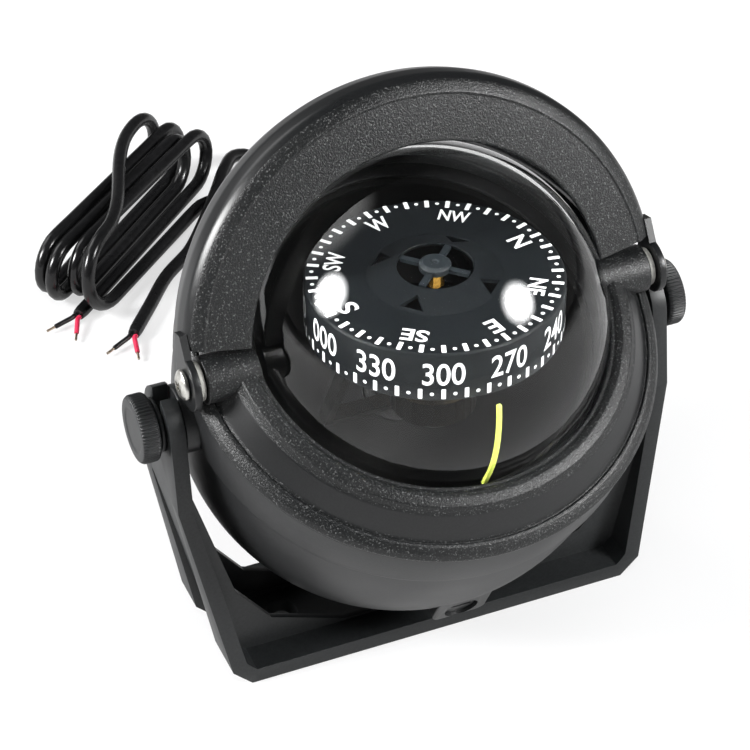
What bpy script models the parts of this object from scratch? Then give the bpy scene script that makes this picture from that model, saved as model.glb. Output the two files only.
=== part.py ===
"""Bracket-mount marine compass: U-bracket, tilting case, swing hood, gimballed card and two leads.

X runs along the tilt axis, -Y is the front, +Z is up.  The origin is the centre of the bracket's
underside.  Sizes are in millimetres and are turned into metres when a mesh is made.
"""
import math

import bmesh
import bpy
from mathutils import Matrix, Vector

MM = 0.001
WELD = 0.001          # points nearer than this after a cut are one point

# Fits
GAP = 0.3             # clearance between pieces that touch
RUN = 0.5             # clearance round a piece that turns

# Dome and bezel
DOME_R = 46.0         # outside radius of the clear dome
DOME_WALL = 2.0
DOME_FLANGE = 3.0     # width of the dome's clamped flange
FLANGE_T = 2.7
DOME_S = 20.7         # height of the dome's centre above the tilt axis, along the case axis
SEAL_T = 1.3
BEZEL_W = 15.8        # bezel width outside the dome
BEZEL_TOP = 4.9       # height of the bezel's ridge above the dome centre
BARREL_R = 6.2
BARREL_IN = 1.5       # how far a hinge barrel ends inside the bezel's edge

# Case
CASE_DEPTH = 58.5     # from the tilt axis down to the case bottom
CASE_WALL = 2.5
DECK_T = 2.8
COVER_HOLE = 24.0
COVER_T = 2.3
COVER_SCREWS = 3
SCREW_CIRCLE = 17.0
TILT = 28.3           # degrees, case lean in the photo

# Tilt axis hardware
STUD_R = 2.4
INSERT_WALL = 1.45
INSERT_LEN = 7.2
BOSS_R = 9.0
KNOB_R = 8.95
KNOB_T = 4.8
KNOB_RIDGES = 24
WASHER_R = 7.2
WASHER_T = 1.2
CAP_T = 1.6           # solid face of the knob over the stud

# Hood
HOOD_WALL = 1.9
HOOD_DEPTH = 19.5
HOOD_FLANGE = 16.3    # width of the hood's front flange
HOOD_LIFT = 44.7      # degrees, hood plane above the bezel plane in the photo
HOOD_DOWN = 7.0       # degrees it can still be lowered
EAR_R = 7.0
PIVOT_R = 1.5
PIVOT_HEAD_R = 4.0
PIVOT_HEAD_T = 1.9
HOOD_WASHER_R = 5.0
HOOD_WASHER_T = 1.4

# Bracket
BASE_DEPTH = 39.0
BASE_T = 4.3
CHAMFER = 5.2
FLARE = 9.9           # how far each arm leans outwards
ARM_T = 4.1
FLOOR_CLEAR = 17.5    # from the case bottom down to the bracket's underside
AXIS_Y = 1.9
ARM_TOP_R = 10.0
KINK_DROP = 20.0      # from the tilt axis down to the bend in the arms
KINK_DEPTH = 26.2
RIB_T = 1.8
RIB_Y = 10.0
GROOVE_D = 2.6
GROOVE_W = 14.5
RECESS_D = 1.3
MOUNT_X = 38.0
MOUNT_R = 2.6
SINK_R = 4.5

# Card and gimbal
CARD_GAP = 13.6       # from the dome's outside in to the card's rim
CARD_T = 1.0
CARD_BAND = 14.0
CARD_CONE_R = 17.0
CARD_CONE_H = 2.8
CARD_HOLE = 9.5
CARD_RISE = 18.0      # card plane above the gimbal centre
CARD_Y = -4.6         # gimbal centre ahead of the dome centre
WINDOWS = 4
SPOKES = 4
SPOKE_W = 1.6
HUB_DISC_R = 4.0
CUP_R = 2.4
CUP_H = 4.0
MAGNET_W = 3.0
MAGNET_L = 24.0
MAGNET_X = 9.0
RING_R = 19.5
RING_W = 3.0
RING_H = 3.2
PIN_R = 1.1
YOKE_T = 2.0
YOKE_W = 4.0
YOKE_TOP = 1.6        # yoke metal over a gimbal pin
YOKE_GAP = 1.6        # ring to yoke arm
HUB_R = 5.0
STEM_R = 2.0
WEIGHT_R = 11.0
WEIGHT_H = 11.0
WEIGHT_DROP = 13.0
LUBBER_W = 1.2
LUBBER_T = 1.1
BOWL_WALL = 1.5
BOWL_HOLE = 9.0

# Compensators and lighting
ROD_R = 3.0
ROD_MAGNET_R = 3.5
ROD_MAGNET_L = 10.0
ROD_DROP = 35.0       # below the tilt axis
SIDE_ROD_V = 10.0
PLUG_R = 4.2
PLUG_T = 1.7
PAD_W = 15.0
PAD_H = 18.5
PAD_OUT = 1.6
SIDE_PAD_IN = 1.6     # the side pad stands this much less far out, clear of the arm
PLUG_SINK = 0.9
LAMP_R = 2.8
LAMP_H = 6.2
HOLDER_W = 10.0
HOLDER_H = 10.0
GLAND_R = 6.0
GLAND_ANGLE = -38.0   # degrees from the case plane, seen from the tilt axis
GLAND_STAND = 0.83    # flat seat of the gland outside the case's skin
GLAND_FLANGE_R = 8.0
GLAND_FLANGE_T = 1.8
GLAND_NOSE = 4.4

# Leads
CORD_D = 4.2
CORE_D = 1.5
TIP_D = 0.9
CORE_L = 7.0
TIP_L = 2.6
LEAD_X = 3.2          # each lead beside the gland's middle
HANK_TURNS = 3
HANK_PITCH = 4.9
HANK_HALF = 31.0      # half the straight run of a loop
HANK_FOLD = 8.85      # radius of a loop's folds
HANK_STAGGER = 3.0
HANK_X = -16.0
HANK_Y = 180.0
HANK_TURN = 41.0     # degrees from +X

# Facets
SEG_BIG = 40
SEG_MID = 32
SEG_SMALL = 16

# Derived places
DOME_IN = DOME_R - DOME_WALL
CARD_R = DOME_R - CARD_GAP
FLANGE_R = DOME_R + DOME_FLANGE
POCKET_R = FLANGE_R + RUN
BORE_R = DOME_R + RUN
FLANGE_TOP = DOME_S - 1.0
POCKET_TOP = FLANGE_TOP + GAP
FLANGE_LOW = FLANGE_TOP - FLANGE_T
SEAL_TOP = FLANGE_LOW - GAP
SEAL_LOW = SEAL_TOP - SEAL_T
BOWL_TOP = SEAL_LOW - GAP
BOWL_FLANGE_T = 1.3
BEZEL_R = DOME_R + BEZEL_W
BEZEL_LOW = BOWL_TOP - BOWL_FLANGE_T - GAP
CASE_R = BEZEL_R - GAP
CASE_TOP = BEZEL_LOW - GAP
CASE_IN = CASE_R - CASE_WALL - 1.2
CASE_SKIN = [
    (CASE_R, CASE_TOP), (CASE_R, 0.0), (CASE_R - 1.2, -1.0), (CASE_R - 1.5, -0.205 * CASE_DEPTH),
    (CASE_R - 2.7, -0.41 * CASE_DEPTH), (CASE_R - 5.2, -0.581 * CASE_DEPTH), (CASE_R - 10.0, -0.752 * CASE_DEPTH),
    (CASE_R - 17.5, -0.889 * CASE_DEPTH), (CASE_R - 27.5, -0.974 * CASE_DEPTH), (COVER_HOLE, -CASE_DEPTH)]
GLAND_WAY = math.radians(GLAND_ANGLE)
GLAND_SEAT = max(r * math.cos(GLAND_WAY) + s * math.sin(GLAND_WAY) for r, s in CASE_SKIN) + GLAND_STAND
HOOD_IN = BEZEL_R + RUN
HOOD_R = HOOD_IN + HOOD_WALL
ARM_IN = HOOD_R + 2 * GAP
ARM_OUT = ARM_IN + ARM_T
AXIS_Z = CASE_DEPTH + FLOOR_CLEAR
BASE_HALF = ARM_OUT - FLARE - CHAMFER
KINK_Z = AXIS_Z - KINK_DROP
BOSS_OUT = ARM_IN - 0.4
INSERT_R = STUD_R + GAP + INSERT_WALL
INSERT_OUT = BOSS_OUT - 1.9
INSERT_IN = INSERT_OUT - INSERT_LEN
WASHER_IN = ARM_OUT + GAP
KNOB_IN = WASHER_IN + WASHER_T + GAP
KNOB_OUT = KNOB_IN + KNOB_T
STUD_OUT = KNOB_OUT - CAP_T - GAP
STUD_IN = INSERT_OUT - 4.5
BARREL_OUT = BEZEL_R - BARREL_IN
HOOD_WASHER_IN = BARREL_OUT + GAP
EAR_IN = max(HOOD_IN, HOOD_WASHER_IN + HOOD_WASHER_T + GAP)
HEAD_IN = HOOD_R + GAP
PIVOT_IN = BARREL_OUT - 7.3
YOKE_IN = RING_R + YOKE_GAP
BOWL_REACH = DOME_IN + 1.0

TILT_RAD = math.radians(TILT)
CASE_FRAME = Matrix.Translation((0.0, AXIS_Y, AXIS_Z)) @ Matrix.Rotation(TILT_RAD, 4, "X")
DOME_POINT = CASE_FRAME @ Vector((0.0, 0.0, DOME_S))
HOOD_FRAME = Matrix.Translation(DOME_POINT) @ Matrix.Rotation(TILT_RAD + math.radians(HOOD_LIFT), 4, "X")
GIMBAL_POINT = DOME_POINT + Vector((0.0, CARD_Y, 0.0))
GIMBAL_FRAME = Matrix.Translation(GIMBAL_POINT)
CARD_FRAME = GIMBAL_FRAME @ Matrix.Translation((0.0, 0.0, CARD_RISE))
GIMBAL_CASE = CASE_FRAME.inverted() @ GIMBAL_POINT
HERE = Matrix.Identity(4)
ALONG_X = Matrix.Rotation(math.pi / 2, 4, "Y")
ALONG_Y = Matrix.Rotation(-math.pi / 2, 4, "X")
GLAND_AXIS = Matrix.Rotation(math.radians(GLAND_ANGLE), 4, "X") @ ALONG_Y


def clear_scene():
    for obj in list(bpy.data.objects):
        bpy.data.objects.remove(obj, do_unlink=True)


def material(name, colour, roughness, metallic=0.0, transmission=0.0):
    mat = bpy.data.materials.new(name)
    mat.use_nodes = True
    shader = mat.node_tree.nodes["Principled BSDF"]
    shader.inputs["Base Color"].default_value = (*colour, 1.0)
    shader.inputs["Roughness"].default_value = roughness
    shader.inputs["Metallic"].default_value = metallic
    shader.inputs["Transmission Weight"].default_value = transmission
    return mat


def frame_empty(name, matrix, parent=None):
    empty = bpy.data.objects.new(name, None)
    bpy.context.scene.collection.objects.link(empty)
    placed = matrix.copy()
    placed.translation = placed.translation * MM
    if parent is not None:
        empty.parent = parent
        empty.matrix_parent_inverse = parent.matrix_world.inverted()
    empty.matrix_world = placed
    bpy.context.view_layer.update()
    return empty


def add_mesh(name, verts, faces, matrix=None):
    """One mesh object from points in mm, faces turned outwards."""
    place = matrix or Matrix.Identity(4)
    mesh = bpy.data.meshes.new(name)
    bm = bmesh.new()
    points = [bm.verts.new(place @ Vector(v)) for v in verts]
    for face in faces:
        bm.faces.new([points[i] for i in face])
    bmesh.ops.recalc_face_normals(bm, faces=bm.faces)
    bm.to_mesh(mesh)
    bm.free()
    obj = bpy.data.objects.new(name, mesh)
    bpy.context.scene.collection.objects.link(obj)
    return obj


def turned(name, profile, segments, matrix=None, ridge=0.0, ridge_from=1e9):
    """Solid of revolution about local Z; an end on the axis closes there, else the profile is a loop."""
    verts = []
    rows = []
    for radius, height in profile:
        if radius < 1e-6:
            rows.append([len(verts)] * segments)
            verts.append((0.0, 0.0, height))
            continue
        row = []
        for step in range(segments):
            angle = 2 * math.pi * (step + 0.5) / segments
            cut = ridge if step % 2 and radius >= ridge_from else 0.0
            row.append(len(verts))
            verts.append(((radius - cut) * math.cos(angle), (radius - cut) * math.sin(angle), height))
        rows.append(row)
    loop = profile[0][0] > 1e-6
    pairs = len(rows) if loop else len(rows) - 1
    faces = []
    for i in range(pairs):
        low = rows[i]
        high = rows[(i + 1) % len(rows)]
        for step in range(segments):
            nxt = (step + 1) % segments
            corners = [low[step], low[nxt], high[nxt], high[step]]
            face = [c for k, c in enumerate(corners) if c not in corners[:k]]
            if len(face) > 2:
                faces.append(face)
    return add_mesh(name, verts, faces, matrix)


def swept(name, profile, start, end, segments, matrix=None):
    """Closed profile (radius, height) turned part of the way round local Z, with flat ends."""
    verts = []
    for step in range(segments + 1):
        angle = start + (end - start) * step / segments
        for radius, height in profile:
            verts.append((radius * math.cos(angle), radius * math.sin(angle), height))
    count = len(profile)
    faces = [list(range(count)), list(range(segments * count, (segments + 1) * count))]
    for step in range(segments):
        for i in range(count):
            j = (i + 1) % count
            base = step * count
            faces.append([base + i, base + j, base + count + j, base + count + i])
    return add_mesh(name, verts, faces, matrix)


def prism(name, outline, low, high, axis, matrix=None):
    """Outline extruded along an axis: (y, z) along x, (x, z) along y or (x, y) along z."""
    def point(a, b, c):
        if axis == "x":
            return (c, a, b)
        if axis == "y":
            return (a, c, b)
        return (a, b, c)
    count = len(outline)
    verts = [point(a, b, low) for a, b in outline] + [point(a, b, high) for a, b in outline]
    faces = [list(range(count)), list(range(count, 2 * count))]
    for i in range(count):
        j = (i + 1) % count
        faces.append([i, j, count + j, count + i])
    return add_mesh(name, verts, faces, matrix)


def block(name, x0, x1, y0, y1, z0, z1, matrix=None):
    return prism(name, [(x0, y0), (x1, y0), (x1, y1), (x0, y1)], z0, z1, "z", matrix)


def rod(name, radius, low, high, segments=SEG_SMALL, matrix=None):
    return turned(name, [(0.0, low), (radius, low), (radius, high), (0.0, high)], segments, matrix)


def pipe(name, inner, outer, low, high, segments=SEG_SMALL, matrix=None):
    return turned(name, [(inner, low), (outer, low), (outer, high), (inner, high)], segments, matrix)


def rounded(width, height, corner, cx=0.0, cy=0.0, steps=3):
    points = []
    for quarter in range(4):
        sx = 1 if quarter in (0, 3) else -1
        sy = 1 if quarter in (0, 1) else -1
        for step in range(steps + 1):
            angle = math.pi / 2 * (quarter + step / steps)
            x = cx + sx * (width / 2 - corner) + corner * math.cos(angle)
            y = cy + sy * (height / 2 - corner) + corner * math.sin(angle)
            points.append((x, y))
    return points


def combine(target, tools, operation):
    """Boolean the tools into the target one after another and take the tools away."""
    for tool in tools:
        step = target.modifiers.new(operation, "BOOLEAN")
        step.operation = operation
        step.solver = "EXACT"
        step.object = tool
        bpy.context.view_layer.update()
        graph = bpy.context.evaluated_depsgraph_get()
        result = bpy.data.meshes.new_from_object(target.evaluated_get(graph))
        target.modifiers.clear()
        clean = bmesh.new()
        clean.from_mesh(result)
        bmesh.ops.remove_doubles(clean, verts=clean.verts, dist=WELD)
        bmesh.ops.dissolve_degenerate(clean, edges=clean.edges, dist=WELD)
        clean.to_mesh(result)
        clean.free()
        target.data = result
        bpy.data.objects.remove(tool, do_unlink=True)
    return target


def finish(obj, parent, mat, smooth=True):
    """Hang a piece on its frame, turn it into metres, give it its material and shade it."""
    obj.data.transform(Matrix.Scale(MM, 4))
    obj.parent = parent
    obj.data.materials.clear()
    obj.data.materials.append(mat)
    if smooth:
        obj.data.shade_smooth()
        obj.data.set_sharp_from_angle(angle=math.radians(32))
    return obj


def mirrored(matrix, side):
    """Turned pieces on the left are made along -X."""
    return matrix @ (ALONG_X if side > 0 else Matrix.Rotation(-math.pi / 2, 4, "Y"))


def side_name(side):
    return "right" if side > 0 else "left"


def make_bracket(mat):
    def both(right):
        return right + [(-x, z) for x, z in reversed(right)]
    top = AXIS_Z + ARM_TOP_R
    shoulder = BASE_HALF + CHAMFER
    inner_low = shoulder - ARM_T + 0.2
    outline = both([
        (BASE_HALF, 0.0), (shoulder, CHAMFER), (ARM_OUT, KINK_Z), (ARM_OUT, top),
        (ARM_IN, top), (ARM_IN, KINK_Z - 0.5), (inner_low, BASE_T + 2.8), (inner_low - 2.8, BASE_T)])
    half = BASE_DEPTH / 2
    bracket = prism("bracket", outline, -half - 2, half + 2, "y")
    inside = ARM_T * 0.5
    swing = math.hypot(CASE_R - 5.5 + PAD_OUT, ROD_DROP - 4.5 + PAD_H / 2)
    middle = max(BASE_T + RUN, min(BASE_T + 4.5, AXIS_Z - swing - 2 * RUN))
    rib = both([
        (inner_low - 2.0, BASE_T - 2.0), (shoulder - inside, CHAMFER + 1.6),
        (ARM_OUT - inside, KINK_Z), (ARM_OUT - inside - 0.8, KINK_Z + 7.7), (shoulder - 4.5, KINK_Z * 0.45),
        (shoulder - 14.1, BASE_T + 8.5), (BASE_HALF * 0.45, middle)])
    ribs = [prism("rib", rib, s * RIB_Y - RIB_T / 2, s * RIB_Y + RIB_T / 2, "y") for s in (-1, 1)]
    combine(bracket, ribs, "UNION")
    front = AXIS_Y - KINK_DEPTH / 2
    side = [(-half, -1.0), (-half, CHAMFER), (front + 0.3, KINK_Z)]
    for step in range(13):
        angle = math.pi - math.pi * step / 12
        side.append((AXIS_Y + ARM_TOP_R * math.cos(angle), AXIS_Z + ARM_TOP_R * math.sin(angle)))
    side += [(AXIS_Y + KINK_DEPTH / 2, KINK_Z), (half, CHAMFER), (half, -1.0)]
    shape = prism("side_shape", side, -ARM_OUT - 5, ARM_OUT + 5, "x")
    combine(bracket, [shape], "INTERSECT")
    slot = STUD_R + RUN
    tools = [block("slot", -ARM_OUT - 5, ARM_OUT + 5, AXIS_Y - slot, AXIS_Y + slot, AXIS_Z - slot, top + 5)]
    for s in (-1, 1):
        groove = [
            (s * (ARM_OUT + 0.01), KINK_Z + 1.0), (s * (ARM_OUT + 10), KINK_Z + 1.0),
            (s * (ARM_OUT + 10), -5.0), (s * (BASE_HALF - 6.0), -5.0),
            (s * (BASE_HALF - GROOVE_D), -1.0), (s * (shoulder - GROOVE_D + 0.2), CHAMFER + 0.2)]
        tools.append(prism("groove", groove, 1.2 - GROOVE_W / 2, 1.2 + GROOVE_W / 2, "y"))
        floor = BASE_T - RECESS_D
        hole = [(0.0, -1.0), (MOUNT_R, -1.0), (MOUNT_R, floor - (SINK_R - MOUNT_R)), (SINK_R, floor),
                (SINK_R, BASE_T + 8), (0.0, BASE_T + 8)]
        tools.append(turned("hole", hole, 20, Matrix.Translation((s * MOUNT_X, 0.0, 0.0))))
    reach = RIB_Y - RIB_T / 2 - 0.5
    tools.insert(1, block("recess", -BASE_HALF + 8, BASE_HALF - 8, -reach, reach,
                          BASE_T - RECESS_D, BASE_T + 6))
    combine(bracket, tools, "DIFFERENCE")
    return finish(bracket, None, mat)


def make_tilt_hardware(side, knob_frame, case, plastic, black, brass):
    name = side_name(side)
    axis = mirrored(HERE, side)
    level = mirrored(Matrix.Translation((0.0, AXIS_Y, AXIS_Z)), side)
    bore = STUD_R + GAP
    knob = turned("knob_" + name, [
        (0.0, KNOB_OUT), (KNOB_R - 0.6, KNOB_OUT), (KNOB_R, KNOB_OUT - 0.7),
        (KNOB_R, KNOB_IN + 0.6), (KNOB_R - 0.6, KNOB_IN), (bore, KNOB_IN), (bore, KNOB_OUT - CAP_T),
        (0.0, KNOB_OUT - CAP_T)], KNOB_RIDGES * 2, axis, 0.35, KNOB_R - 0.7)
    finish(knob, knob_frame, black)
    finish(rod("knob_stud_" + name, STUD_R, STUD_IN, STUD_OUT, SEG_SMALL, axis), knob_frame, brass)
    insert = pipe("trunnion_insert_" + name, bore, INSERT_R, INSERT_IN, INSERT_OUT, SEG_SMALL, axis)
    finish(insert, case, brass)
    hole = bore + 0.05
    washer = turned("clamp_washer_" + name, [
        (hole, WASHER_IN), (WASHER_R, WASHER_IN), (WASHER_R, WASHER_IN + WASHER_T * 0.6),
        (WASHER_R - 1.0, WASHER_IN + WASHER_T), (hole, WASHER_IN + WASHER_T)], 24, level)
    finish(washer, None, plastic)


def make_case(case, plastic, dark):
    wall = CASE_WALL
    outer = CASE_SKIN
    inner = [(COVER_HOLE, -CASE_DEPTH + wall)]
    for radius, height in reversed(outer[3:-1]):
        inner.append((radius - 0.8 * wall, height + 0.62 * wall))
    inner += [
        (CASE_IN, 0.0), (CASE_IN, CASE_TOP - DECK_T), (DOME_R + RUN, CASE_TOP - DECK_T),
        (DOME_R + RUN, CASE_TOP)]
    body = turned("case_lower", outer + inner, SEG_BIG, HERE)
    pad_v = CASE_R - 5.5 + PAD_OUT
    side_v = pad_v - SIDE_PAD_IN
    drop = -ROD_DROP + 4.5
    front_pad = rounded(PAD_W, PAD_H, 2.5, 0.0, drop)
    side_pad = rounded(PAD_W, PAD_H, 2.5, SIDE_ROD_V, drop)
    adds = [
        prism("front_pad", front_pad, -pad_v, -pad_v + 7.0, "y", HERE),
        prism("side_pad", side_pad, side_v - 7.0, side_v, "x", HERE)]
    gland = GLAND_AXIS
    adds.append(rod("gland_boss", GLAND_FLANGE_R + 1.0, GLAND_SEAT - 8.5, GLAND_SEAT, 20, gland))
    for side in (-1, 1):
        adds.append(rod("boss", BOSS_R, CASE_IN - 3.0, BOSS_OUT, 20, mirrored(HERE, side)))
    combine(body, adds, "UNION")
    cuts = [rod("gland_hole", GLAND_R + GAP, GLAND_SEAT - 16, GLAND_SEAT + 5, 20, gland)]
    for side in (-1, 1):
        cuts.append(rod("bore", INSERT_R + GAP, CASE_IN - 6, BOSS_OUT + 5, SEG_SMALL, mirrored(HERE, side)))
    plug_hole = PLUG_R + 0.4
    low = Matrix.Translation((0.0, 0.0, -ROD_DROP))
    cuts.append(rod("front_hole", plug_hole, -pad_v - 3, -pad_v + 11, 20, low @ ALONG_Y))
    across = Matrix.Translation((0.0, SIDE_ROD_V, -ROD_DROP))
    cuts.append(rod("side_hole", plug_hole, side_v - 11, side_v + 3, 20, across @ ALONG_X))
    combine(body, cuts, "DIFFERENCE")
    finish(body, case, plastic)
    face = pad_v - PLUG_SINK
    front = rod("front_plug", PLUG_R, -face, -face + PLUG_T, 20, low @ ALONG_Y)
    finish(front, case, dark)
    side_face = side_v - PLUG_SINK
    side = rod("side_plug", PLUG_R, side_face - PLUG_T, side_face, 20, across @ ALONG_X)
    finish(side, case, dark)
    return face - PLUG_T - GAP, side_face - PLUG_T - GAP


def make_cover(case, plastic, steel):
    low = -CASE_DEPTH
    cover = rod("bottom_cover", COVER_HOLE - 0.4, low, low + COVER_T, SEG_MID, HERE)
    holes = []
    spots = []
    for i in range(COVER_SCREWS):
        angle = math.pi / 2 + 2 * math.pi * i / COVER_SCREWS
        spot = Matrix.Translation((SCREW_CIRCLE * math.cos(angle), SCREW_CIRCLE * math.sin(angle), 0.0))
        spots.append(spot)
        holes.append(rod("hole", 1.3, low - 2, low + COVER_T + 2, 12, spots[-1]))
    combine(cover, holes, "DIFFERENCE")
    finish(cover, case, plastic)
    for i, spot in enumerate(spots):
        head = low - GAP
        screw = turned("cover_screw_%d" % (i + 1), [
            (0.0, head - 1.3), (2.2, head - 1.3), (2.6, head - 0.8), (2.6, head), (1.0, head),
            (1.0, low + COVER_T + 2.2), (0.0, low + COVER_T + 2.2)], 12, spot)
        finish(screw, case, steel)


def make_bezel(case, textured):
    low = BEZEL_LOW
    ridge = DOME_S + BEZEL_TOP
    edge = BEZEL_R
    inner = DOME_R
    profile = [
        (edge, low), (edge, low + 0.8), (edge - 0.8, low + 2.1), (edge - 2.4, low + 3.4),
        (edge - 3.3, low + 3.6), (edge - 3.6, low + 3.0), (edge - 4.4, low + 3.9), (inner + 7.6, ridge - 2.9),
        (inner + 6.9, ridge - 2.2), (inner + 6.0, ridge - 0.7), (inner + 3.6, ridge),
        (inner + 2.3, ridge - 0.2), (inner + 1.7, ridge - 0.8), (inner + 0.9, ridge - 0.7),
        (BORE_R, ridge - 1.1), (BORE_R, POCKET_TOP), (POCKET_R, POCKET_TOP), (POCKET_R, low)]
    bezel = turned("bezel_ring", profile, SEG_BIG, HERE)
    place = Matrix.Translation((0.0, 0.0, DOME_S))
    barrels = []
    bores = []
    for side in (-1, 1):
        axis = mirrored(place, side)
        barrels.append(turned("barrel", [
            (0.0, DOME_R - 3), (BARREL_R, DOME_R - 3), (BARREL_R, BARREL_OUT), (0.0, BARREL_OUT)], 20, axis))
        bores.append(rod("bore", PIVOT_R + GAP, PIVOT_IN - 0.6, BARREL_OUT + 5, 12, axis))
    combine(bezel, barrels, "UNION")
    room = turned("room", [
        (0.0, low - 8), (POCKET_R, low - 8), (POCKET_R, POCKET_TOP), (BORE_R, POCKET_TOP),
        (BORE_R, ridge + 20), (0.0, ridge + 20)], SEG_BIG, HERE)
    combine(bezel, [room] + bores, "DIFFERENCE")
    finish(bezel, case, textured)


def make_dome(case, clear, rubber):
    profile = []
    steps = 7
    for i in range(steps + 1):
        angle = math.pi / 2 * (1 - i / steps)
        profile.append((DOME_R * math.cos(angle) if i else 0.0, DOME_S + DOME_R * math.sin(angle)))
    profile += [(DOME_R, FLANGE_TOP), (FLANGE_R, FLANGE_TOP), (FLANGE_R, FLANGE_LOW), (DOME_IN, FLANGE_LOW)]
    for i in range(steps + 1):
        angle = math.pi / 2 * i / steps
        profile.append((DOME_IN * math.cos(angle) if i < steps else 0.0, DOME_S + DOME_IN * math.sin(angle)))
    finish(turned("dome", profile, SEG_BIG, HERE), case, clear)
    seal = pipe("dome_seal", DOME_IN + 0.5, FLANGE_R - 0.2, SEAL_LOW, SEAL_TOP, SEG_MID, HERE)
    finish(seal, case, rubber)


def make_bowl(case, pale, rubber, yellow):
    """The bowl's wall follows a sphere that the swinging card always clears."""
    reach = BOWL_REACH
    floor = DOME_S - reach + 4.5
    curve = []
    steps = 5
    start = math.asin((DOME_S - BOWL_TOP) / reach)
    stop = math.acos(BOWL_HOLE / reach)
    for i in range(steps + 1):
        angle = start + (stop - start) * i / steps
        curve.append((reach * math.cos(angle) - 1.0, max(DOME_S - reach * math.sin(angle), floor)))
    inner = [(DOME_IN - 1.0, BOWL_TOP)] + curve[1:-1] + [(BOWL_HOLE, floor)]
    outer = [(r + BOWL_WALL * 0.7, h - BOWL_WALL) for r, h in curve[2:-1]]
    low = BOWL_TOP - BOWL_FLANGE_T
    profile = [(FLANGE_R - 0.2, BOWL_TOP)] + inner
    profile += [(BOWL_HOLE, floor - BOWL_WALL)] + list(reversed(outer))
    profile += [(DOME_IN + 0.5, low), (FLANGE_R - 0.2, low)]
    finish(turned("inner_bowl", profile, SEG_MID, HERE), case, pale)
    plug = rod("diaphragm", BOWL_HOLE - 0.4, floor - BOWL_WALL, floor - 0.1, SEG_MID, HERE)
    finish(plug, case, rubber)
    far = DOME_IN - 0.4
    near = far - LUBBER_T
    outline = []
    for radius, order in ((far, range(9)), (near, range(8, -1, -1))):
        for i in order:
            angle = math.radians(-2.0 + 37.0 * i / 8)
            outline.append((-radius * math.cos(angle), DOME_S + radius * math.sin(angle)))
    outline += [(-near, BOWL_TOP + 0.4), (-far, BOWL_TOP + 0.4)]
    line = prism("lubber_line", outline, -LUBBER_W / 2, LUBBER_W / 2, "x", HERE)
    finish(line, case, yellow)


def make_gimbal(case, ring_frame, hub_frame, brass, steel, lead):
    out = YOKE_IN + YOKE_T
    cv = GIMBAL_CASE.y
    cs = GIMBAL_CASE.z
    corner = math.hypot(out, abs(cv) + YOKE_W / 2) + 1.2
    foot = DOME_S - math.sqrt(BOWL_REACH ** 2 - corner ** 2) + 0.4 + GAP
    top = cs + PIN_R + GAP + YOKE_TOP
    outline = [(-out, foot), (out, foot), (out, top), (YOKE_IN, top), (YOKE_IN, foot + YOKE_T),
               (-YOKE_IN, foot + YOKE_T), (-YOKE_IN, top), (-out, top)]
    yoke = prism("gimbal_yoke", outline, cv - YOKE_W / 2, cv + YOKE_W / 2, "y", HERE)
    pin_line = Matrix.Translation((0.0, cv, cs)) @ ALONG_X
    combine(yoke, [rod("hole", PIN_R + GAP, -out - 4, out + 4, 12, pin_line)], "DIFFERENCE")
    finish(yoke, case, brass)
    inner = RING_R - RING_W
    ring = pipe("gimbal_ring", inner, RING_R, -RING_H / 2, RING_H / 2, SEG_MID, HERE)
    finish(ring, ring_frame, brass)
    for side in (-1, 1):
        pin = rod("gimbal_pin_" + side_name(side), PIN_R, RING_R + GAP, out - 0.2, 12, mirrored(HERE, side))
        finish(pin, ring_frame, steel)
    low = -WEIGHT_DROP + GAP
    hub = turned("gimbal_hub", [
        (0.0, HUB_R + 1.0), (HUB_R - 2.0, HUB_R + 1.0), (HUB_R, HUB_R - 0.5), (HUB_R, -HUB_R + 1.0),
        (STEM_R, -HUB_R), (STEM_R, low), (0.0, low)], SEG_SMALL, HERE)
    journal = rod("journal", PIN_R, -inner + GAP, inner - GAP, 12, ALONG_Y)
    combine(hub, [journal], "UNION")
    finish(hub, hub_frame, brass)
    weight = turned("counterweight", [
        (0.0, -WEIGHT_DROP), (WEIGHT_R - 1.5, -WEIGHT_DROP), (WEIGHT_R, -WEIGHT_DROP - 1.5),
        (WEIGHT_R, -WEIGHT_DROP - WEIGHT_H + 2.5), (WEIGHT_R - 3.0, -WEIGHT_DROP - WEIGHT_H),
        (0.0, -WEIGHT_DROP - WEIGHT_H)], 24, HERE)
    finish(weight, hub_frame, lead)
    cup_top = CARD_RISE + CARD_CONE_H - CARD_T - GAP
    tip = cup_top - 1.3
    pin = turned("pivot_pin", [
        (0.0, HUB_R + 1.0 + GAP), (0.9, HUB_R + 1.0 + GAP), (0.9, tip - 1.6), (0.0, tip)], 12, HERE)
    finish(pin, hub_frame, steel)


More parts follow.
